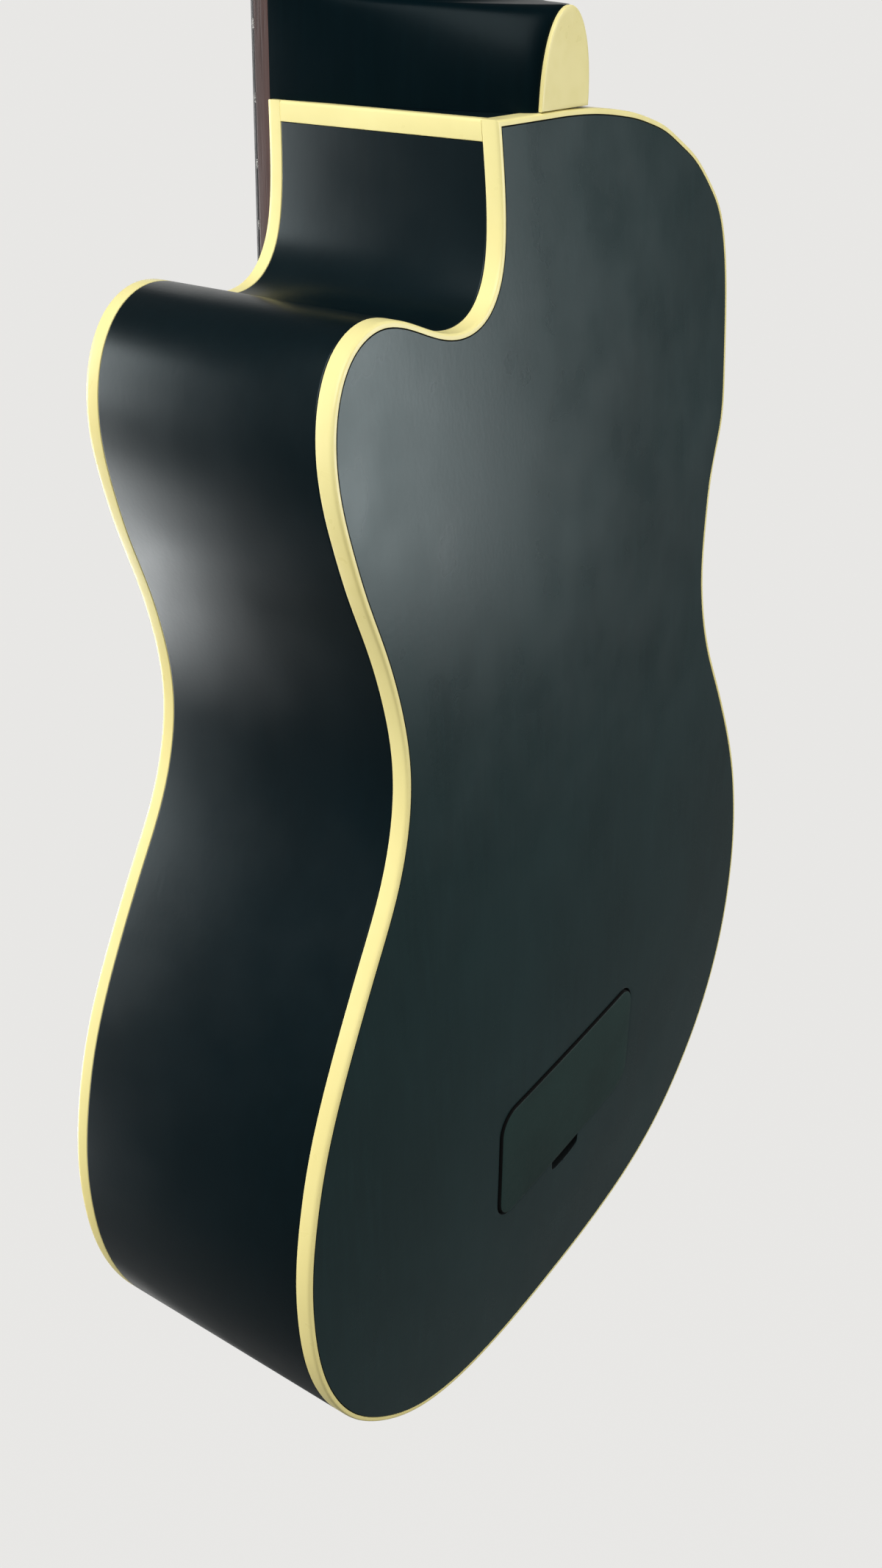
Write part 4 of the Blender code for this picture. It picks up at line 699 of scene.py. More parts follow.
def wood(name, dark, light, roughness, grain=(1.0, 1.0, 0.06), rings=34.0, pores=0.35):
    """Bare wood: bands of growth bent by a slow noise, fine long fibres and short dark pores."""
    made = Finish(name, light, roughness, specular=0.3)
    along = made.stretched(*grain)
    bands = made.noise(rings, 2, along, 0.5, 0.6)
    fibre = made.noise(rings * 14, 3, along, 0.65)
    tone = made.mixed(bands, 0.35, 0.65, dark, light)
    tone = made.mixed(fibre, 0.35, 0.75, tone, scaled(dark, 0.8), 0.5)
    pore = made.noise(rings * 34, 1, made.stretched(grain[0], grain[1], grain[2] * 0.7))
    open_pore = made.ranged(pore, 0.62, 0.70, 0, pores)
    made.surface(
        made.blend(open_pore, tone, scaled(dark, 0.35)),
        made.ranged(fibre, 0.3, 0.7, roughness - 0.08, roughness + 0.1),
    )
    made.relief(made.combined(fibre, open_pore, "SUBTRACT"), 0.00005)


def plated(name, colour, roughness):
    """Plated metal: cloudy plating, fine scratches that run across, and wear that dulls it."""
    made = Finish(name, colour, roughness, metallic=1.0)
    cloud = made.noise(160, 3)
    line = made.noise(2400, 2, made.stretched(1, 0.08, 1))
    made.surface(
        made.mixed(cloud, 0.35, 0.65, scaled(colour, 0.8), scaled(colour, 1.25)),
        made.ranged(made.combined(cloud, line), 0.7, 1.3, roughness - 0.07, roughness + 0.12),
    )
    made.relief(line, 0.00001)


def moulded(name, colour, roughness, texture, depth, specular=0.4, cut=False):
    """Moulded plastic: a fine even texture with slow changes of tone and gloss. With cut, the walls of
    its edges take painted shade.
    """
    made = Finish(name, colour, roughness, specular=specular)
    tone = made.mixed(made.noise(30, 2), 0.3, 0.7, scaled(colour, 0.82), scaled(colour, 1.22))
    gloss = made.ranged(made.noise(400, 2), 0.3, 0.7, roughness - 0.05, roughness + 0.07)
    # With cut, the walls of its edges take painted shade
    made.surface(tone, gloss, cut)
    made.relief(made.noise(texture, 2), depth)


def horn_like(name, colour):
    """Bone: pale with soft streaks and small dark pits."""
    made = Finish(name, colour, 0.36, specular=0.4)
    streak = made.noise(260, 3, made.stretched(0.2, 1, 1))
    pits = made.noise(2600, 1, made.stretched(0.4, 1, 1))
    tone = made.mixed(streak, 0.35, 0.7, colour, scaled(colour, 0.86))
    made.surface(
        made.mixed(pits, 0.68, 0.74, tone, scaled(colour, 0.5), 0.4),
        made.ranged(streak, 0.3, 0.7, 0.3, 0.44),
    )
    made.relief(streak, 0.00001)


def braided(name, colour):
    """Braided foil: two crossing waves make the plaits, with painted shade and a duller gloss in the
    valleys.
    """
    made = Finish(name, colour, 0.35, metallic=1.0)
    waves = [
        made.add("ShaderNodeTexWave", {"Scale": 260, "Vector": vector}, bands_direction="DIAGONAL")
        for vector in (made.place, made.stretched(-1, 1, 1))
    ]
    plait = made.combined(*(wave.outputs["Fac"] for wave in waves), "MULTIPLY")
    # Painted shade: the valleys between the plaits take half the colour
    made.surface(made.blend(plait, scaled(colour, 0.5), colour), made.ranged(plait, 0, 1, 0.5, 0.3))
    made.relief(plait, 0.00008)


def plain_stage(name, colour, share):
    """Plain pale paper with a fine tooth. Camera, glossy and transmission rays see this share of it
    at its own colour, and the rest of it under the lamps, with the object's shadow."""
    made = Finish(name, colour, 0.9, specular=0.1)
    made.relief(made.noise(220, 2), 0.0002, 0.2)
    path = made.add("ShaderNodeLightPath").outputs
    seen = path["Is Camera Ray"]
    for kind in ("Is Glossy Ray", "Is Transmission Ray"):
        seen = made.combined(seen, path[kind], "MAXIMUM")
    glow = made.add("ShaderNodeEmission", {"Color": (*colour, 1.0)})
    lit_or_own = made.add("ShaderNodeMixShader", {
        "Fac": made.combined(seen, share, "MULTIPLY"), 1: made.shader.outputs["BSDF"],
        2: glow.outputs["Emission"],
    })
    made.fill(made.tree.nodes["Material Output"], {"Surface": lit_or_own.outputs["Shader"]})
    return made.material


def finish(name):
    """A finish that an earlier step made, by its name."""
    made = bpy.data.materials.get(name)
    stop_unless(made, f"the finish {name}")
    return made


def stop_unless(made, what):
    """Raises when a step's result is missing."""
    if not made:
        raise RuntimeError(f"{what} could not be made")


# Settings

def colour_property(name, description, default):
    """A setting that holds a colour."""
    return bpy.props.FloatVectorProperty(
        name=name, description=description, default=default, subtype="COLOR", size=3, min=0.0, max=1.0,
    )


def kind_of_property(**limits):
    """A function that makes settings of one kind, from their name, description and default."""
    def made(name, description, default):
        return bpy.props.FloatProperty(
            name=name, description=description, default=default, min=0.0, **limits,
        )
    return made


share_property = kind_of_property(subtype="FACTOR", max=1.0)
strength_property = kind_of_property()
power_property = kind_of_property(unit="POWER")
length_property = kind_of_property(unit="LENGTH", precision=5)


class UKULELE_PG_finishes(bpy.types.PropertyGroup):
    """Colours and sheens of the instrument's surfaces."""

    # Painted light: the same black satin lacquer as the sides, painted lighter and more teal for the
    # back's brighter lighting
    back_lacquer: colour_property(
        "Back lacquer", "Satin lacquer of the back plate", (0.008, 0.022, 0.023),
    )
    side_lacquer: colour_property(
        "Side lacquer", "Satin lacquer of the sides and the neck", (0.0012, 0.0055, 0.0075),
    )
    binding: colour_property("Binding", "Cream of the bindings and the heel cap", (0.90, 0.815, 0.37))
    binding_shade: colour_property("Binding, aged", "Cream where it has yellowed", (0.83, 0.71, 0.275))
    fingerboard_dark: colour_property(
        "Fingerboard, dark", "Dark bands of the fingerboard", (0.024, 0.009, 0.007),
    )
    fingerboard_light: colour_property(
        "Fingerboard, light", "Light bands of the fingerboard", (0.072, 0.027, 0.020),
    )
    panel: colour_property("Access panel", "Moulded plastic of the access panel", (0.009, 0.026, 0.023))
    strings: colour_property("Strings", "Polyurethane of the strings", (0.020, 0.020, 0.021))
    sheen: share_property("Sheen", "Roughness of the lacquer, from mirror to matt", 0.34)
    reflection: share_property("Reflection", "How much the lacquer reflects", 0.25)


class UKULELE_PG_shapes(bpy.types.PropertyGroup):
    """Small roundings that the fine surfaces have over the solids."""

    binding_round: length_property("Binding rounding", "Rounding of a binding's outer edge", 1.1 * MM)
    lacquer_round: length_property("Lacquer edge", "Rounding of the sides beside the bindings", 0.3 * MM)
    panel_round: length_property("Panel edge", "Rounding of the access panel's edge", 0.45 * MM)
    head_round: length_property("Headstock edge", "Rounding of the headstock's front edge", 0.9 * MM)
    string_sides: bpy.props.IntProperty(
        name="String sides", description="Flats round each string", default=24, min=8,
    )


class UKULELE_PG_studio(bpy.types.PropertyGroup):
    """The floor with its backdrop, the even light, the lamps and the camera."""

    paper_colour: colour_property("Paper", "Colour of the floor and the backdrop", (0.884, 0.876, 0.859))
    paper_share: share_property("Paper's own colour", "Share of the paper seen at its own colour", 0.9)
    floor_drop: length_property("Floor drop", "Height of the tail above the floor", 5.0)
    world_strength: strength_property("World", "Strength of the even light", 0.12)
    key_power: power_property("Key lamp", "Power of the large lamp above the treble side", 32.0)
    back_power: power_property("Back lamp", "Power of the lamp that gives the back its sheen", 12.5)
    side_power: power_property(
        "Side lamp", "Power of the low lamp that gives the sides their sheen", 11.5,
    )
    front_power: power_property("Front lamp", "Power of the lamp in front of the treble side", 11.5)
    lens: bpy.props.FloatProperty(
        name="Lens", description="Focal length in millimetres", default=34.6, min=10.0,
    )


# Operators

class UKULELE_OT_finishes(bpy.types.Operator):
    """Makes the finishes that the pieces take"""

    bl_idname = "ukulele.finishes"
    bl_label = "Finishes"

    def execute(self, context):
        chosen = context.scene.ukulele_finishes
        sheen, reflection = chosen.sheen, chosen.reflection
        # Painted light: the back takes a lighter copy of the sides' black lacquer
        # With cut, the walls of the back's panel opening and finger notch take painted shade
        lacquer("back lacquer", chosen.back_lacquer, sheen - 0.05, reflection, cut=True)
        lacquer("side lacquer", chosen.side_lacquer, sheen, reflection)
        lacquer("neck lacquer", chosen.side_lacquer, sheen, reflection / 4)
        ivory("cream binding", chosen.binding, chosen.binding_shade)
        wood("fingerboard wood", chosen.fingerboard_dark, chosen.fingerboard_light, 0.5)
        wood("bridge wood", (0.030, 0.012, 0.008), (0.095, 0.038, 0.024), 0.5, (0.06, 1.0, 1.0))
        wood("bare mahogany", (0.20, 0.095, 0.05), (0.42, 0.24, 0.13), 0.75)
        wood("bare spruce", (0.55, 0.38, 0.20), (0.68, 0.52, 0.31), 0.75, (0.05, 1.0, 1.0), 110.0, 0.1)
        plated("black plating", (0.028, 0.028, 0.031), 0.3)
        plated("nickel plating", (0.56, 0.55, 0.53), 0.24)
        plated("fret wire", (0.62, 0.61, 0.58), 0.2)
        # With cut, the panel's edge walls take painted shade
        moulded("panel plastic", chosen.panel, 0.42, 1500, 0.00002, 0.2, cut=True)
        moulded("black moulding", (0.014, 0.015, 0.016), 0.46, 1500, 0.00002)
        moulded("string polymer", chosen.strings, 0.48, 3000, 0.00001)
        moulded("pearl dot", (0.78, 0.77, 0.73), 0.25, 300, 0.00001)
        horn_like("bone", (0.80, 0.74, 0.60))
        braided("pickup braid", (0.60, 0.40, 0.22))
        return {"FINISHED"}


class UKULELE_OT_plates(bpy.types.Operator):
    """Makes the domed back with its opening, and the soundboard with its ring"""

    bl_idname = "ukulele.plates"
    bl_label = "Back and soundboard"

    def execute(self, context):
        face = inset(body_outline(), BINDING_THICK + BINDING_LINE)
        hole = evenly(panel_opening(), 0.4 * MM)
        grid = plate_with_hole(face, (0, PANEL_CENTRE), hole, from_back(0), BACK_THICK, -1)
        make_piece("back", "back lacquer", ["back_plate"], grid, looped=True)
        angle = full_turn(240)
        circle = SOUNDHOLE_RADIUS * stacked(np.cos(angle), np.sin(angle)) + (0, SOUNDHOLE_Z)
        grid = plate_with_hole(face, (0, SOUNDHOLE_Z), circle, from_front(0), SOUNDBOARD_THICK, 1)
        make_piece("top", "side lacquer", ["soundboard"], grid, looped=True)
        outer, inner = SOUNDHOLE_RADIUS - CLOSE_FIT, SOUNDHOLE_RADIUS - SEAT - SOUNDHOLE_EDGE
        section = rounded(rectangle(inner, outer, -HAIR, SOUNDBOARD_THICK), 0.5 * MM)
        ring = turned(section, 160, (0, 0, SOUNDHOLE_Z))
        make_piece("soundhole_binding", "cream binding", ["soundhole_ring"], ring, looped=True)
        return {"FINISHED"}


def panel_opening():
    """The panel's opening: a rounded rectangle with a finger notch in its lower edge, whose depth
    follows the fourth root of a sine."""
    length = PANEL_LENGTH + 2 * PANEL_CLEARANCE
    shape = rounded_rectangle(
        PANEL_WIDTH + 2 * PANEL_CLEARANCE, length, PANEL_CORNER + PANEL_CLEARANCE, (0, PANEL_CENTRE),
    )
    angle = np.linspace(0, math.pi, 25)
    depth = NOTCH_DEPTH * np.abs(np.sin(angle)) ** 0.25
    notch = stacked(-NOTCH_WIDTH / 2 * np.cos(angle), PANEL_CENTRE - length / 2 - depth)
    is_low = shape[:, 1] < PANEL_CENTRE
    upper, lower = shape[~is_low], shape[is_low]
    return np.vstack([upper, lower[lower[:, 0] < 0], notch, lower[lower[:, 0] > 0], upper[:1]])


class UKULELE_OT_sides(bpy.types.Operator):
    """Makes the two bent sides between the bindings"""

    bl_idname = "ukulele.sides"
    bl_label = "Sides"

    def execute(self, context):
        soft = context.scene.ukulele_shapes.lacquer_round
        treble, bass, top = body_runs()
        front, back = FRONT_BINDING_HEIGHT + SIDE_GAP, BACK_BINDING_HEIGHT + SIDE_GAP
        under_front, under_back = SOUNDBOARD_THICK + SEAT, BACK_THICK + SEAT
        pull, level = soft * (1 - np.cos(quarter(5))), soft * (1 - np.sin(quarter(5)))
        section = [(SIDE_THICK, from_front(under_front)), (BINDING_THICK, from_front(under_front))]
        section += [(BINDING_THICK, from_front(front))]
        section += [(p, from_front(front + q)) for p, q in zip(pull[::-1], level[::-1])]
        section += [(p, from_back(back + q)) for p, q in zip(pull, level)]
        section += [(BINDING_THICK, from_back(back)), (BINDING_THICK, from_back(under_back))]
        section += [(SIDE_THICK, from_back(under_back))]
        runs = {
            "treble": trimmed(treble, CORNER_STRIP_WIDTH + 0.1 * MM, 0),
            "bass": trimmed(np.vstack([bass[:-1], top]), 0, SIDE_THICK),
        }
        for side, run in runs.items():
            grid = carried(run, section, False)
            make_piece(f"{side}_rib", "side lacquer", [f"{side}_side"], grid, sharp=40)
        return {"FINISHED"}


class UKULELE_OT_bindings(bpy.types.Operator):
    """Makes the cream bindings, the strip at the cutaway's corner and the heel cap"""

    bl_idname = "ukulele.bindings"
    bl_label = "Bindings and heel cap"

    def execute(self, context):
        soft = context.scene.ukulele_shapes.binding_round
        outline = body_outline()
        rims = {"front": (from_front, FRONT_BINDING_HEIGHT), "back": (from_back, BACK_BINDING_HEIGHT)}
        for side, (depth, height) in rims.items():
            radii = (soft, 0.05 * MM, 0.05 * MM, 0.2 * MM)
            shape = rounded(rectangle(0, BINDING_THICK, 0, height), radii, 7)
            grid = carried(outline, [(distance, depth(offset)) for distance, offset in shape], True)
            make_piece(f"{side}_rim", "cream binding", [f"{side}_binding"], grid, looped=True, sharp=50)
        edge = CORNER_SHARE * HORN_REACH
        corners = rectangle(edge - SIDE_THICK, edge, BODY_LENGTH - CORNER_STRIP_WIDTH, BODY_LENGTH)
        x, z = rounded(corners, (0.1 * MM, 0.25 * MM, 0.7 * MM, 0.1 * MM)).T
        grid = np.stack([stacked(x, depth(height + HAIR)(x, z), z) for depth, height in rims.values()])
        make_piece("cutaway_corner", "cream binding", ["corner_strip"], grid)
        z = BODY_LENGTH + SEAT + (HEEL_CAP_LENGTH - SEAT) * np.sin(quarter(40))
        right = stacked(np.maximum(heel_cap_half(z), 0.3 * MM), z)
        shape = np.vstack([right, right[::-1] * (-1, 1)])[::-1]
        near, far = from_front(DEPTH_AT_NECK - HEEL_CAP_THICK), from_front(DEPTH_AT_NECK)
        middle = (0, BODY_LENGTH + HEEL_CAP_LENGTH * 0.4)
        grid = domed_slab(shape, middle, near, far, 0.25 * MM)
        make_piece("heel_cap_face", "cream binding", ["heel_cap"], grid)
        return {"FINISHED"}


def heel_cap_half(z):
    """Half the heel cap's width: the root of 1 less a power of the share of its length."""
    share = np.clip((z - BODY_LENGTH) / HEEL_CAP_LENGTH, 0.0, 1.0)
    return HEEL_CAP_WIDTH / 2 * np.sqrt(1 - share**2.3)


def neck_thickness(z):
    """The neck's thickness, which grows in a straight line from the nut to the body."""
    share = (z - BODY_LENGTH) / (NUT_Z - BODY_LENGTH)
    return NECK_THICK_BODY + (NECK_THICK_NUT - NECK_THICK_BODY) * share


def mirrored(across, level):
    """Half sections completed by their mirror image: across changes sign and level doesn't."""
    both = np.concatenate([across, -across[:, ::-1]], axis=1)
    return both, np.concatenate([level, level[:, ::-1]], axis=1)


def neck_rings(half, flat, deep, fullness, soft, steps=28):
    """Across and down for each ring: a small arc at the front edge, then a rounded curve whose
    powers of cosine and sine grow squarer with its fullness, down to a flat this half wide."""
    half, flat, deep, fullness = (part[:, None] for part in (half, flat, deep, fullness))
    turn = quarter(5)[None, :-1]
    edge_across = half - soft * (1 - np.sin(turn))
    edge_down = soft * (1 - np.cos(turn)) + 0 * half
    angle = quarter(steps)[None, :]
    across = flat + (half - flat) * np.maximum(np.cos(angle), 0) ** (2 / fullness)
    down = soft + (deep - soft) * np.maximum(np.sin(angle), 0) ** (2 / fullness)
    return mirrored(
        np.concatenate([edge_across, across], axis=1), np.concatenate([edge_down, down], axis=1),
    )


def head_outline():
    """Height up the headstock, half width and squareness, smoothed between the solids' stations."""
    start, wide = half_width(HEAD_Z), HEAD_WIDTH / 2
    shape = [(0.03, start)] + [(v, start + (wide - start) * out) for v, out in HEAD_WIDENING]
    shape += [(v, wide * out) for v, out in HEAD_NARROWING]
    shape = np.array(shape) * (HEAD_LENGTH, 1)
    line = natural_cubic(shape, 10)
    v = np.clip(line[:, 0], 0, HEAD_LENGTH)
    return v, np.minimum(line[:, 1], wide), np.interp(v, shape[:5, 0], (2.0, 4.0, 6.0, 8.0, 9.0))


class UKULELE_OT_neck(bpy.types.Operator):
    """Makes the neck with its heel and headstock"""

    bl_idname = "ukulele.neck"
    bl_label = "Neck"

    def execute(self, context):
        soft = context.scene.ukulele_shapes.head_round
        least = 0.5 * MM
        heel_depth = DEPTH_AT_NECK - HEEL_CAP_THICK - HAIR
        tip = BODY_LENGTH + HEEL_CAP_LENGTH
        foot = np.linspace(BODY_LENGTH + HAIR, tip, 24)
        angle = np.linspace(math.pi / 2, 0, 26)[1:]
        curve = tip + HEEL_CURVE * (1 - np.sin(angle))
        shaft = np.linspace(curve[-1], HEAD_Z, 30)[1:]
        z = np.r_[foot, curve, shaft]
        drop = np.r_[np.ones(len(foot)), 1 - np.cos(angle), np.zeros(len(shaft))]
        thick = neck_thickness(z)
        flat = np.where(z <= tip, np.maximum(heel_cap_half(z), least), least)
        deep = thick + (heel_depth - thick) * drop
        across, down = neck_rings(half_width(z), flat, deep, 2.0 - 0.5 * drop, 0.0)
        lower = stacked(across, down, z[:, None])
        v, half, fullness = head_outline()
        softening = np.interp(v, (0, 12 * MM), (0.0, soft))[:, None]
        flat, deep = np.full(len(v), least), np.full(len(v), HEAD_THICK)
        across, down = neck_rings(half, flat, deep, fullness, softening)
        grid = np.concatenate([lower, to_head(across, v[:, None], -down)])
        make_piece("neck_and_headstock", "neck lacquer", ["neck"], grid, sharp=38)
        return {"FINISHED"}


class UKULELE_OT_fingerboard(bpy.types.Operator):
    """Makes the fingerboard, its frets, its dots and the nut"""

    bl_idname = "ukulele.fingerboard"
    bl_label = "Fingerboard and nut"

    def execute(self, context):
        low, high = FINGERBOARD_END, NUT_Z - SEAT
        z = np.array([low, low + 0.4 * MM, high - 0.2 * MM, high])[:, None]
        half = half_width(z) - np.array([0.3, 0, 0, 0.1])[:, None] * MM
        top, soft = FINGERBOARD_THICK + SEAT, 0.7 * MM
        turn = quarter(5)[None, :]
        across = np.concatenate([half, half - soft * (1 - np.cos(turn))], axis=1)
        up = np.concatenate([0 * half + CLOSE_FIT, top - soft * (1 - np.sin(turn)) + 0 * half], axis=1)
        across, up = mirrored(across, up)
        make_piece("fretboard", "fingerboard wood", ["fingerboard"], stacked(across, -up, z))
        make_piece("fret_wires", "fret wire", ["fingerboard"], *fret_grids(top))
        dots = []
        for fret, places in DOTS:
            at = NUT_Z - SCALE_LENGTH * (1 - (2 ** (-fret / 12) + 2 ** (-(fret - 1) / 12)) / 2)
            profile = np.array(DOT_PROFILE) * (MM, -MM)
            dots += [turned(profile, 36, (x * MM, -top, at)) for x in places]
        make_piece("fingerboard_dots", "pearl dot", [], *dots)
        near, far = NUT_Z + CLOSE_FIT, NUT_Z + NUT_LENGTH
        corners = [
            (-SEAT, near), (-NUT_HEIGHT + 0.5 * MM, near), (-NUT_HEIGHT, NUT_Z + 0.8 * MM),
            (-NUT_HEIGHT + 0.9 * MM, far), (-SEAT, far),
        ]
        grid = bar(rounded(corners, 0.7 * MM), half_width(far), 0.5 * MM)
        make_piece("string_nut", "bone", ["nut"], grid)
        return {"FINISHED"}


def fret_grids(top):
    """Each fret is a half ellipse over its foot, carried across the board and bevelled at its ends."""
    angle = np.linspace(0, math.pi, 13)
    arch = np.r_[0, np.sin(angle), 0][None]
    foot = np.r_[-0.3 * MM, np.zeros(13), -0.3 * MM][None]
    height = FRET_HEIGHT * np.array([0.1, 0.68, 1, 1, 0.68, 0.1])[:, None]
    made = []
    for fret in range(1, FRET_COUNT + 1):
        z = NUT_Z - SCALE_LENGTH * (1 - 2 ** (-fret / 12))
        half = half_width(z) - HAIR
        x = np.r_[-half, -half + 0.5 * MM, -half + 1.0 * MM, half - 1.0 * MM, half - 0.5 * MM, half]
        along = z + FRET_WIDTH / 2 * np.r_[1, np.cos(angle), -1]
        made.append(stacked(x[:, None], -top - (foot + arch * height), along))
    return made


class UKULELE_OT_bridge(bpy.types.Operator):
    """Makes the bridge and the saddle"""

    bl_idname = "ukulele.bridge"
    bl_label = "Bridge and saddle"

    def execute(self, context):
        rear, front = SADDLE_Z - BRIDGE_REAR, SADDLE_Z + BRIDGE_FRONT
        corners = [
            (rear, 0), (rear, 0.7 * BRIDGE_REAR_HEIGHT), (rear + 1.5 * MM, BRIDGE_REAR_HEIGHT),
            (SADDLE_Z - RIDGE_BEHIND - 1 * MM, BRIDGE_REAR_HEIGHT),
            (SADDLE_Z - RIDGE_BEHIND, BRIDGE_RIDGE_HEIGHT),
            (SADDLE_Z + RIDGE_AHEAD, BRIDGE_RIDGE_HEIGHT),
            (front - 1.5 * MM, BRIDGE_FRONT_HEIGHT), (front, 0.5 * BRIDGE_FRONT_HEIGHT), (front, 0),
        ]
        z, y = rounded(corners, np.array(BRIDGE_ROUNDINGS) * MM).T
        half = BRIDGE_WIDTH / 2
        wing = half - SADDLE_WIDTH / 2 - 3 * MM
        x = np.linspace(-half, half, 265)
        stations = np.array([0, 0.12, 0.3, 1.0]) * wing - half
        window = np.hanning(15)[1:-1]
        rise, spread = (
            np.convolve(np.pad(line, 6, mode="edge"), window / window.sum(), "valid")
            for line in (
                np.interp(-np.abs(x), stations, (0.28, 0.36, 0.42, 1.0)),
                np.interp(-np.abs(x), stations, (0.72, 0.9, 1.0, 1.0)),
            )
        )
        middle = (rear + front) / 2
        along = middle + spread[:, None] * (z - middle)
        grid = stacked(x[:, None], -CLOSE_FIT - rise[:, None] * y, along)
        make_piece("bridge_body", "bridge wood", ["bridge"], grid)
        low = SADDLE_SLOT_FLOOR + 3 * SEAT + PICKUP_THICK
        behind, ahead = SADDLE_Z - SADDLE_THICK / 2, SADDLE_Z + SADDLE_THICK / 2
        top = STRING_AT_SADDLE
        corners = [
            (-low, behind), (-top + 1.4 * MM, behind), (-top, SADDLE_Z - SADDLE_EDGE),
            (-top, SADDLE_Z + SADDLE_EDGE), (-top + 1.0 * MM, ahead), (-low, ahead),
        ]
        grid = bar(rounded(corners, 0.5 * MM), SADDLE_WIDTH / 2, 0.6 * MM)
        make_piece("string_saddle", "bone", ["saddle"], grid)
        return {"FINISHED"}


def string_line(index):
    """A string's middle line and radii: from its knot, over saddle and nut, and round its post."""
    radius = STRING_RADII[index]
    x, at_nut = ((index - 1.5) * spacing for spacing in (SADDLE_SPACING, NUT_SPACING))
    hole = SADDLE_Z - STRING_HOLE_BACK
    under = SOUNDBOARD_THICK + BRIDGE_PLATE_THICK + 2 * SEAT
    knot = [(x, under + lift * MM, hole) for lift in (5.4, 4.6, 1.2, 0.4)]
    radii = [KNOT_RADIUS * 0.6, KNOT_RADIUS, KNOT_RADIUS, radius]
    reach = radius + STRING_CLEARANCE + 0.1 * MM
    turn = np.linspace(BREAK_ANGLE, 0, 7)
    over = stacked(
        x, -STRING_AT_SADDLE - reach * np.cos(turn), SADDLE_Z - SADDLE_EDGE - reach * np.sin(turn),
    )
    run = np.array([0.9, 0.6]) * (over[0, 2] - hole)
    lift = math.tan(BREAK_ANGLE) * run + np.array([0.8, 0.0]) * MM
    climb = stacked(x, over[0, 1] + lift, over[0, 2] - run)
    height = STRING_AT_NUT + STRING_CLEARANCE + radius
    level = [(at_nut, -height, NUT_Z), (at_nut, -height, NUT_Z + NUT_LENGTH)]
    side = -1 if index < 2 else 1
    v = LOWER_POST if index in (0, 3) else UPPER_POST
    around = POST_RADIUS + STRING_CLEARANCE + radius
    turn = np.arange(0, 2 * math.pi * WRAPS + 0.01, 2 * math.pi / 40)
    drop = (2 * radius + 0.35 * MM) * turn / (2 * math.pi)
    across = side * (POST_SPREAD - around * np.cos(turn))
    wound = to_head(across, v + around * np.sin(turn), WRAP_START - drop)
    first = np.vstack([knot, [(x, -BRIDGE_REAR_HEIGHT - SEAT, hole)], climb, over, level])
    points = np.vstack([first, wound])
    return points, np.r_[radii, np.full(len(points) - len(radii), radius)], len(first)


class UKULELE_OT_strings(bpy.types.Operator):
    """Makes the four strings, wound on their posts"""

    bl_idname = "ukulele.strings"
    bl_label = "Strings"

    def execute(self, context):
        sides = context.scene.ukulele_shapes.string_sides
        out = np.array([0, math.cos(HEAD_TILT), -math.sin(HEAD_TILT)])
        across = np.array([1.0, 0.0, 0.0])
        for index in range(len(STRING_RADII)):
            points, radii, first = string_line(index)
            ahead = unit(np.gradient(points, axis=0))
            side = unit(across - ahead * (ahead @ across)[:, None])
            up = np.cross(ahead, side)
            up_later = unit(out - ahead * (ahead @ out)[:, None])
            later = (np.arange(len(points)) >= first - 2)[:, None]
            side = np.where(later, np.cross(up_later, ahead), side)
            up = np.where(later, up_later, up)
            grid = tube(points, radii, side, up, sides)
            number = 4 - index
            make_piece(f"bass_string_{number}", "string polymer", [f"string_{number}"], grid, sharp=60)
        return {"FINISHED"}


def at_post(side, v, *grids):
    """Machine grids, drawn for the treble side about the post's foot, moved to their place."""
    return [
        to_head(side * (POST_SPREAD + grid[..., 0]), v + grid[..., 1], grid[..., 2]) for grid in grids
    ]


def gear_grid():
    """The gear: its radius steps in and out by tooth, and the teeth lean by the worm's lead."""
    lead = math.atan(WORM_PITCH / (2 * math.pi * WORM_RADIUS))
    half = GEAR_WIDTH / 2
    share, level = np.array(TOOTH_SHAPE).T
    angle = (2 * math.pi * (np.arange(GEAR_TEETH)[:, None] + share) / GEAR_TEETH).ravel()
    reach = GEAR_RADIUS - TOOTH_CLEARANCE + np.tile(level, GEAR_TEETH) * TOOTH_DEPTH / 2
    width = np.array([-half, -half + 0.25 * MM, half - 0.25 * MM, half])[:, None]
    pull = np.array([0.25, 0, 0, 0.25])[:, None] * MM
    turn = angle[None] + width * math.tan(lead) / GEAR_RADIUS
    radius = reach[None] - pull
    return stacked(radius * np.cos(turn), radius * np.sin(turn), GEAR_PLANE + width)


def worm_grid(sides=40, steps=150):
    """The worm: its radius rises to the thread's crest where the place along it, less the turn,
    comes round to a whole pitch, and the thread runs out at both ends."""
    x = np.linspace(-WORM_LENGTH / 2, WORM_LENGTH / 2, steps)[:, None]
    angle = full_turn(sides)[None, :]
    phase = (x / WORM_PITCH - angle / (2 * math.pi) + 0.5) % 1.0 - 0.5
    rise = np.clip((THREAD_HALF - np.abs(phase)) / THREAD_FLANK, 0, 1)
    fade = np.clip((WORM_LENGTH / 2 - np.abs(x)) / (0.5 * MM), 0, 1)
    core = WORM_RADIUS - TOOTH_DEPTH / 2
    radius = core + (WORM_CREST - TOOTH_CLEARANCE - core) * rise * fade
    return stacked(x, radius * np.cos(angle), radius * np.sin(angle))


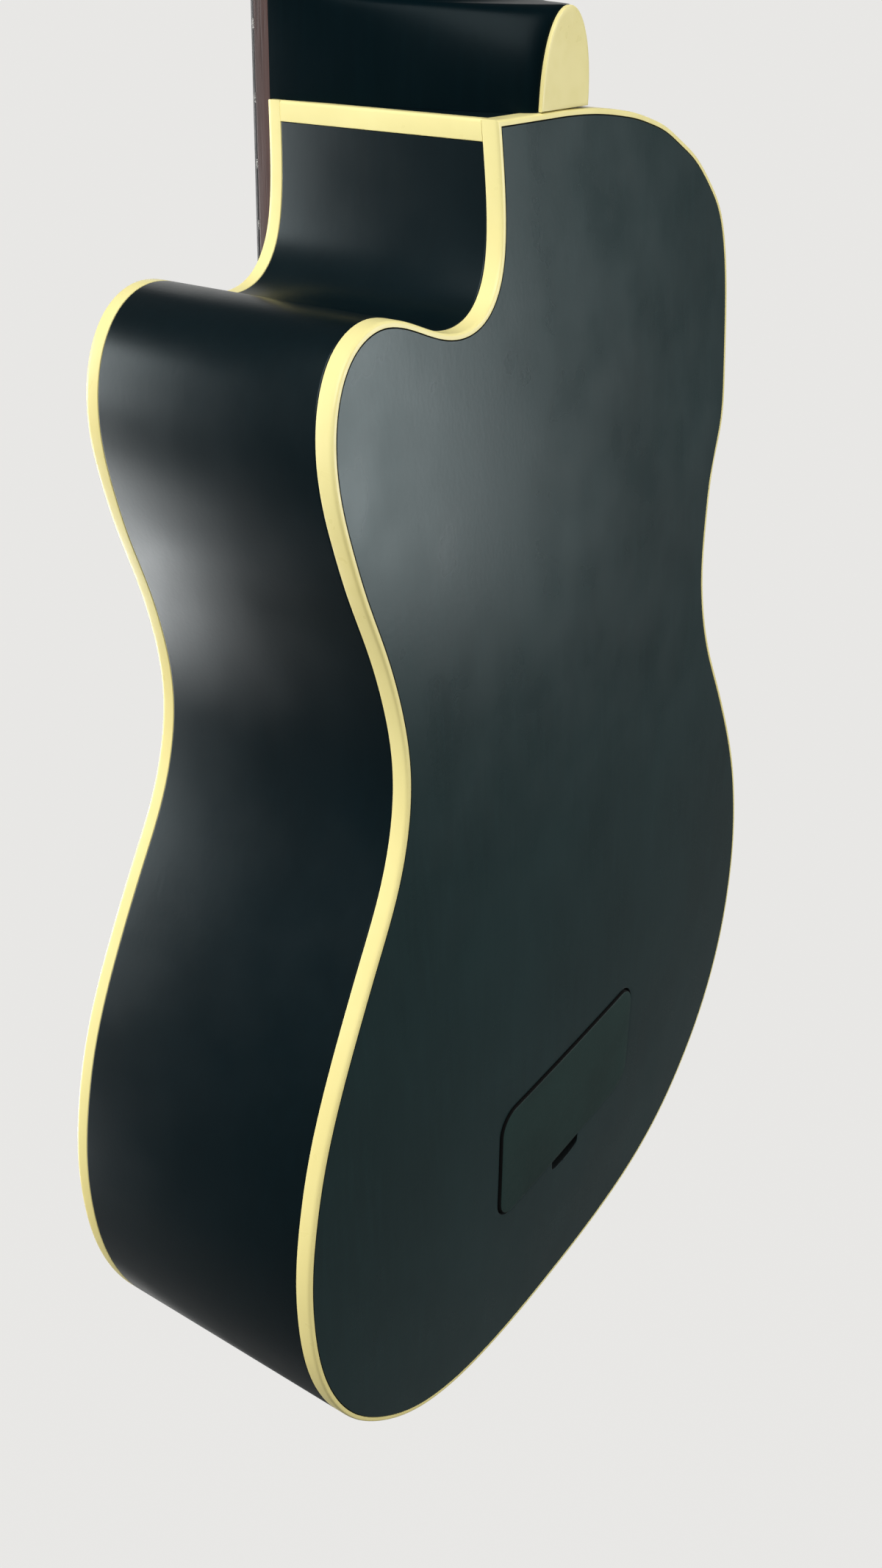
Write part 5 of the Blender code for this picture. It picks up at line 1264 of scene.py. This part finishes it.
def button_grid(reach, sides=48):
    """The shaft and the oval button: the radius follows the solids' stations on a smooth curve, and
    the section flattens from the shoulder outwards."""
    end = -WORM_LENGTH / 2 - EAR_THICK - 1.6 * MM
    shoulder = (3.6 * MM, reach + 2.0 * MM)
    shaft = [
        (SHAFT_RADIUS * 0.7, end), (SHAFT_RADIUS, end + 0.5 * MM), (SHAFT_RADIUS, reach - 1.5 * MM),
        (3.2 * MM, reach - 1.0 * MM), (3.6 * MM, reach), shoulder,
    ]
    blade = natural_cubic([
        shoulder, (BUTTON_RADIUS * 0.80, reach + 5.0 * MM),
        (BUTTON_RADIUS, reach + 0.55 * BUTTON_LENGTH),
        (BUTTON_RADIUS * 0.86, reach + 0.8 * BUTTON_LENGTH),
        (BUTTON_RADIUS * 0.45, reach + 0.965 * BUTTON_LENGTH), (0.4 * MM, reach + BUTTON_LENGTH),
    ], 8)
    profile = np.vstack([shaft, blade[1:]])
    radius, x = profile[:, :1], profile[:, 1:]
    flat = np.interp(x, (reach + 2.0 * MM, reach + 6.0 * MM), (1.0, BUTTON_FLATNESS))
    angle = full_turn(sides)[None, :]
    thin = radius * flat * np.sqrt(np.clip(radius / BUTTON_RADIUS, 0.25, 1))
    thin = np.where(x < reach + 2.5 * MM, radius, np.maximum(thin, radius * 0.3))
    return stacked(x, radius * np.cos(angle), thin * np.sin(angle))


def base_grids(low, top):
    """The base plate, its edges drawn in by a bevel, and its two ears, half round at their tips."""
    foot = -WORM_OFFSET - BASE_BELOW
    middle = (0, (BASE_ABOVE + foot) / 2)
    shape = rounded_rectangle(BASE_WIDTH, BASE_ABOVE - foot, 2.5 * MM, middle)[::-1]
    edge = 0.25 * MM
    inner = inset(shape, edge)
    rings = [(inner, low), (shape, low + edge), (shape, top - edge), (inner, top)]
    plate = np.stack([stacked(*ring.T, level) for ring, level in rings])
    around = SHAFT_RADIUS + EAR_WALL
    angle = np.linspace(math.pi, 2 * math.pi, 19)
    ear = np.vstack([
        stacked(-WORM_OFFSET + around * np.cos(angle), GEAR_PLANE + around * np.sin(angle)),
        [(-WORM_OFFSET + around, low + 0.3 * MM), (-WORM_OFFSET - around, low + 0.3 * MM)],
    ])
    middle = WORM_LENGTH / 2 + SEAT + EAR_THICK / 2
    return [plate] + [bar(ear, EAR_THICK / 2, edge) + (sign * middle, 0, 0) for sign in (-1, 1)]


class UKULELE_OT_machines(bpy.types.Operator):
    """Makes the four tuning machines: bases with ears, posts with gears, worms with buttons"""

    bl_idname = "ukulele.machines"
    bl_label = "Tuning machines"

    def execute(self, context):
        top = -HEAD_THICK - CLOSE_FIT
        low = top - BASE_THICK
        bore = POST_RADIUS + 0.3 * MM
        section = [
            (bore, CLOSE_FIT), (BUSHING_RADIUS, CLOSE_FIT), (BUSHING_RADIUS, 0.9 * MM),
            (BUSHING_RADIUS * 0.80, BUSHING_HEIGHT), (bore, BUSHING_HEIGHT),
        ]
        ring = turned(rounded(section, 0.4 * MM), 48, (0, 0, 0), "Z")
        heads = [screw_head(x * MM, y * MM, low) for x, y in SCREW_PLACES]
        reach = HEAD_WIDTH / 2 - POST_SPREAD + 6 * MM
        button = [part + (0, -WORM_OFFSET, GEAR_PLANE) for part in (button_grid(reach), worm_grid())]
        parts = {
            "base": ("black plating", "instrument", base_grids(low, top)),
            "post": ("nickel plating", "post_{}", post_grids()),
            "button": ("black plating", "button_{}", button),
            "bushing": ("black plating", "instrument", [ring]),
        }
        screws = []
        for number, side, v in MACHINES:
            screws += at_post(side, v, *heads)
            for part, (look, body, grids) in parts.items():
                made = make_piece(
                    f"machine_{part}_{number}", look, [f"tuner_{part}_{number}"],
                    *at_post(side, v, *grids), looped=part == "bushing", body=body.format(number),
                )
                if part == "post":
                    cut_string_hole(made, side, v)
        make_piece("machine_screws", "black plating", [], *screws)
        return {"FINISHED"}


def screw_head(x, y, low):
    """A domed screw head with a cross recess: the dome's height drops in two crossing slots."""
    radius, dome = np.array(SCREW_PROFILE).T[:, :, None] * MM
    angle = full_turn(32)[None, :]
    across, up = radius * np.cos(angle), radius * np.sin(angle)
    slot = (np.minimum(np.abs(across), np.abs(up)) < 0.2 * MM) & (radius < 1.0 * MM)
    return stacked(x + across, y + up, low - dome + np.where(slot, 0.4 * MM, 0))


def post_grids():
    """The string post, with a waist for the string and a rim over it, and its gear."""
    low, rim = GEAR_PLANE - GEAR_WIDTH / 2 - 1.5 * MM, POST_RADIUS + 0.45 * MM
    corners = [
        (0.3 * MM, low), (POST_RADIUS * 0.8, low), (POST_RADIUS, low + 0.8 * MM),
        (POST_RADIUS, POST_TOP - 5 * MM), (rim, POST_TOP - 3.5 * MM), (rim, POST_TOP - 1 * MM),
        (POST_RADIUS * 0.8, POST_TOP), (0.3 * MM, POST_TOP),
    ]
    profile = rounded(corners, 0.5 * MM)[2:-2]
    return [turned(profile, 48, (0, 0, 0), "Z"), gear_grid()]


def cut_string_hole(post, side, v):
    """The string's hole, cut across a post by a rod that is then removed."""
    run, angle = np.linspace(-9 * MM, 9 * MM, 3)[:, None], full_turn(28)[None, :]
    up = WRAP_START + MM + POST_HOLE_RADIUS * np.sin(angle)
    rod, = at_post(side, v, stacked(run, POST_HOLE_RADIUS * np.cos(angle), up))
    points, faces = turned_outwards(*sheet_of(rod))
    cutter = new_object("post_hole", points + HANGING, faces, smooth=False)
    cut = post.modifiers.new("hole", "BOOLEAN")
    cut.object = cutter
    cut.solver = "EXACT"
    bpy.context.view_layer.update()
    graph = bpy.context.evaluated_depsgraph_get()
    bored = bpy.data.meshes.new_from_object(post.evaluated_get(graph))
    post.modifiers.clear()
    post.data = bored
    bored.set_sharp_from_angle(angle=math.radians(SHARP_ANGLE))
    bpy.data.objects.remove(cutter, do_unlink=True)
    stop_unless(len(bored.polygons) > LEAST_POST_FACES, post.name)


class UKULELE_OT_fittings(bpy.types.Operator):
    """Makes the access panel, the two thumbwheels and the end jack"""

    bl_idname = "ukulele.fittings"
    bl_label = "Panel, wheels and jack"

    def execute(self, context):
        soft = context.scene.ukulele_shapes.panel_round
        shape = rounded_rectangle(PANEL_WIDTH, PANEL_LENGTH, PANEL_CORNER, (0, PANEL_CENTRE))
        shape = evenly(np.vstack([shape, shape[:1]]), 0.8 * MM)[:-1][::-1]
        near, far = from_back(PANEL_RECESS + PANEL_THICK), from_back(-PANEL_PROUD)
        grid = domed_slab(shape, (0, PANEL_CENTRE), near, far, soft, 20)
        make_piece("panel_lid", "panel plastic", ["access_panel"], grid, body="access_panel")
        near = SOUNDBOARD_THICK + SEAT + CONTROL_THICK + RUNNING_GAP
        inner = WHEEL_AXLE_RADIUS + 0.15 * MM
        section = rounded(rectangle(inner, WHEEL_RADIUS, near, near + WHEEL_THICK), 0.35 * MM)
        for use, sign in (("tone", -1), ("volume", 1)):
            centre = (-SOUNDHOLE_RADIUS - WHEEL_REACH, 0, SOUNDHOLE_Z + sign * WHEEL_SPACING / 2)
            grid = turned(section, 192, centre, "Y", knurled)
            node = f"{use}_wheel"
            make_piece(f"{use}_thumbwheel", "black moulding", [node], grid, looped=True, body=node)
        flange = -SEAT - JACK_FLANGE_THICK
        low = flange - JACK_COLLAR_LENGTH
        end, collar = low + JACK_LENGTH, JACK_FLANGE_RADIUS * 0.9
        corners = [
            (JACK_BORE_RADIUS, low), (collar, low), (collar, low + 2 * MM),
            (JACK_BARREL_RADIUS, low + 3.2 * MM), (JACK_BARREL_RADIUS, flange),
            (JACK_FLANGE_RADIUS, flange), (JACK_FLANGE_RADIUS, -CLOSE_FIT),
            (JACK_BARREL_RADIUS, -CLOSE_FIT), (JACK_BARREL_RADIUS, end), (0.2 * MM, end),
            (0.2 * MM, end - 4 * MM), (JACK_BORE_RADIUS, end - 4 * MM),
        ]
        grid = turned(rounded(corners, 0.4 * MM), 96, (0, back_depth(0.0, 0.0) / 2, 0), "Z")
        make_piece("strap_jack", "black plating", ["end_jack"], grid, looped=True)
        return {"FINISHED"}


def knurled(angle, profile):
    """Fine ribs: the rim's radius follows a cosine of many turns, and the rest stays round."""
    rim = (profile[:, :1] > WHEEL_RADIUS - 0.2 * MM) * WHEEL_GROOVE / WHEEL_RADIUS / 2
    return 1 - rim * (1 - np.cos(WHEEL_RIBS * angle)[None, :]) * 0.8


class UKULELE_OT_hidden_parts(bpy.types.Operator):
    """Gives the solids that stay as they are their woods, metals and plastics"""

    bl_idname = "ukulele.hidden_parts"
    bl_label = "Inner parts"

    def execute(self, context):
        for look, names in HIDDEN_LOOKS.items():
            for name in names.split():
                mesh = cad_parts[name].data
                mesh.materials.clear()
                mesh.materials.append(finish(look))
        return {"FINISHED"}


class UKULELE_OT_studio(bpy.types.Operator):
    """Makes the paper floor with its backdrop, the lamps, the even light and the camera"""

    bl_idname = "ukulele.studio"
    bl_label = "Studio"

    def execute(self, context):
        chosen = context.scene.ukulele_studio
        floor = HANGING[2] - chosen.floor_drop
        disc = turned([(0.01, 0.0), (FLOOR_RADIUS, 0.0)], 64, (0, 0, floor - 0.01), "Z")
        paper = sheet_of(paper_grid(floor), around=False)
        for name, look, share, sheet in (
            ("paper_floor", "studio paper", chosen.paper_share, paper),
            ("studio_floor", "studio floor", 0.0, sheet_of(disc, ends=False)),
        ):
            made = new_object(name, *sheet, smooth=name == "paper_floor")
            made.data.materials.append(plain_stage(look, chosen.paper_colour, share))

        world = context.scene.world or bpy.data.worlds.new("studio")
        context.scene.world = world
        world.use_nodes = True
        light = world.node_tree.nodes["Background"]
        light.inputs["Color"].default_value = (1.0, 1.0, 1.0, 1.0)
        light.inputs["Strength"].default_value = chosen.world_strength
        for name, *place in LAMPS:
            area_lamp(f"{name}_lamp", *place, getattr(chosen, f"{name}_power"))

        camera = bpy.data.objects.new("camera", bpy.data.cameras.new("camera"))
        context.scene.collection.objects.link(camera)
        camera.data.lens = chosen.lens
        camera.data.sensor_width = 36.0
        camera.data.clip_start = 0.01
        camera.rotation_mode = "QUATERNION"
        camera.location = CAMERA_PLACE
        camera.rotation_quaternion = camera_turn().to_quaternion()
        context.scene.camera = camera
        context.scene.view_settings.view_transform = "Standard"
        stop_unless(context.scene.camera, "the camera")
        return {"FINISHED"}


def paper_grid(floor, near=2.8, far=10.0, bend=2.0, half=(2.3, 4.4), high=12.0):
    """Paper that lies along the camera's view and then bends up: a straight run, a quarter circle
    and a straight rise, carried across the view by a half width that grows along the run."""
    angle = quarter(24)
    curve = stacked(far + bend * np.sin(angle), bend - bend * np.cos(angle))
    line = np.vstack([[(near, 0.0)], curve, [(far + bend, high)]])
    away = np.array([math.sin(CAMERA_YAW), -math.cos(CAMERA_YAW)])
    across = np.array([away[1], -away[0]])
    wide = np.interp(line[:, 0], (near, far), half)[:, None, None]
    level = line[:, None, :1] * away + wide * np.linspace(-1, 1, 3)[None, :, None] * across
    return stacked(level[..., 0], level[..., 1], line[:, 1:] + floor)


def camera_turn():
    """The camera's turn: its view by yaw and pitch, its right square to that and level, then the
    roll."""
    level = math.cos(CAMERA_PITCH)
    x, y = math.sin(CAMERA_YAW) * level, -math.cos(CAMERA_YAW) * level
    ahead = Vector((x, y, -math.sin(CAMERA_PITCH)))
    right = ahead.cross(Vector((0, 0, 1))).normalized()
    up = right.cross(ahead)
    c, s = math.cos(CAMERA_ROLL), math.sin(CAMERA_ROLL)
    right, up = c * right + s * up, c * up - s * right
    return Matrix((right, up, -ahead)).transposed()


def area_lamp(name, azimuth, elevation, distance, size, power):
    """A soft rectangular lamp that faces the body's middle from this direction, in degrees."""
    azimuth, elevation = math.radians(azimuth), math.radians(elevation)
    level = math.cos(elevation)
    away = Vector((level * math.cos(azimuth), level * math.sin(azimuth), math.sin(elevation)))
    data = bpy.data.lights.new(name, "AREA")
    data.shape = "RECTANGLE"
    data.size, data.size_y = size
    data.energy = power
    lamp = bpy.data.objects.new(name, data)
    bpy.context.scene.collection.objects.link(lamp)
    lamp.location = Vector(LAMP_TARGET) + distance * away
    lamp.rotation_mode = "QUATERNION"
    lamp.rotation_quaternion = away.to_track_quat("Z", "Y")
    lamp.visible_camera = False


class UKULELE_PT_panel(bpy.types.Panel):
    """Steps and settings of the bass ukulele"""

    bl_idname = "UKULELE_PT_panel"
    bl_label = "Bass ukulele"
    bl_space_type = "VIEW_3D"
    bl_region_type = "UI"
    bl_category = "Ukulele"

    def draw(self, context):
        layout = self.layout
        for step in STEPS:
            layout.operator(step.bl_idname, text=step.bl_label)
        scene = context.scene
        for group in (scene.ukulele_shapes, scene.ukulele_finishes, scene.ukulele_studio):
            box = layout.box()
            for name in group.__annotations__:
                box.prop(group, name)


STEPS = (
    UKULELE_OT_finishes, UKULELE_OT_plates, UKULELE_OT_sides, UKULELE_OT_bindings, UKULELE_OT_neck,
    UKULELE_OT_fingerboard, UKULELE_OT_bridge, UKULELE_OT_strings, UKULELE_OT_machines,
    UKULELE_OT_fittings, UKULELE_OT_hidden_parts, UKULELE_OT_studio,
)
GROUPS = {
    "ukulele_finishes": UKULELE_PG_finishes,
    "ukulele_shapes": UKULELE_PG_shapes,
    "ukulele_studio": UKULELE_PG_studio,
}


def register():
    for group in GROUPS.values():
        bpy.utils.register_class(group)
    for step in (*STEPS, UKULELE_PT_panel):
        bpy.utils.register_class(step)
    for name, group in GROUPS.items():
        setattr(bpy.types.Scene, name, bpy.props.PointerProperty(type=group))


def unregister():
    for name in GROUPS:
        delattr(bpy.types.Scene, name)
    for made in (UKULELE_PT_panel, *reversed(STEPS), *GROUPS.values()):
        bpy.utils.unregister_class(made)


def main():
    register()
    for step in STEPS:
        group, name = step.bl_idname.split(".")
        getattr(getattr(bpy.ops, group), name)()


if __name__ == "__main__":
    main()
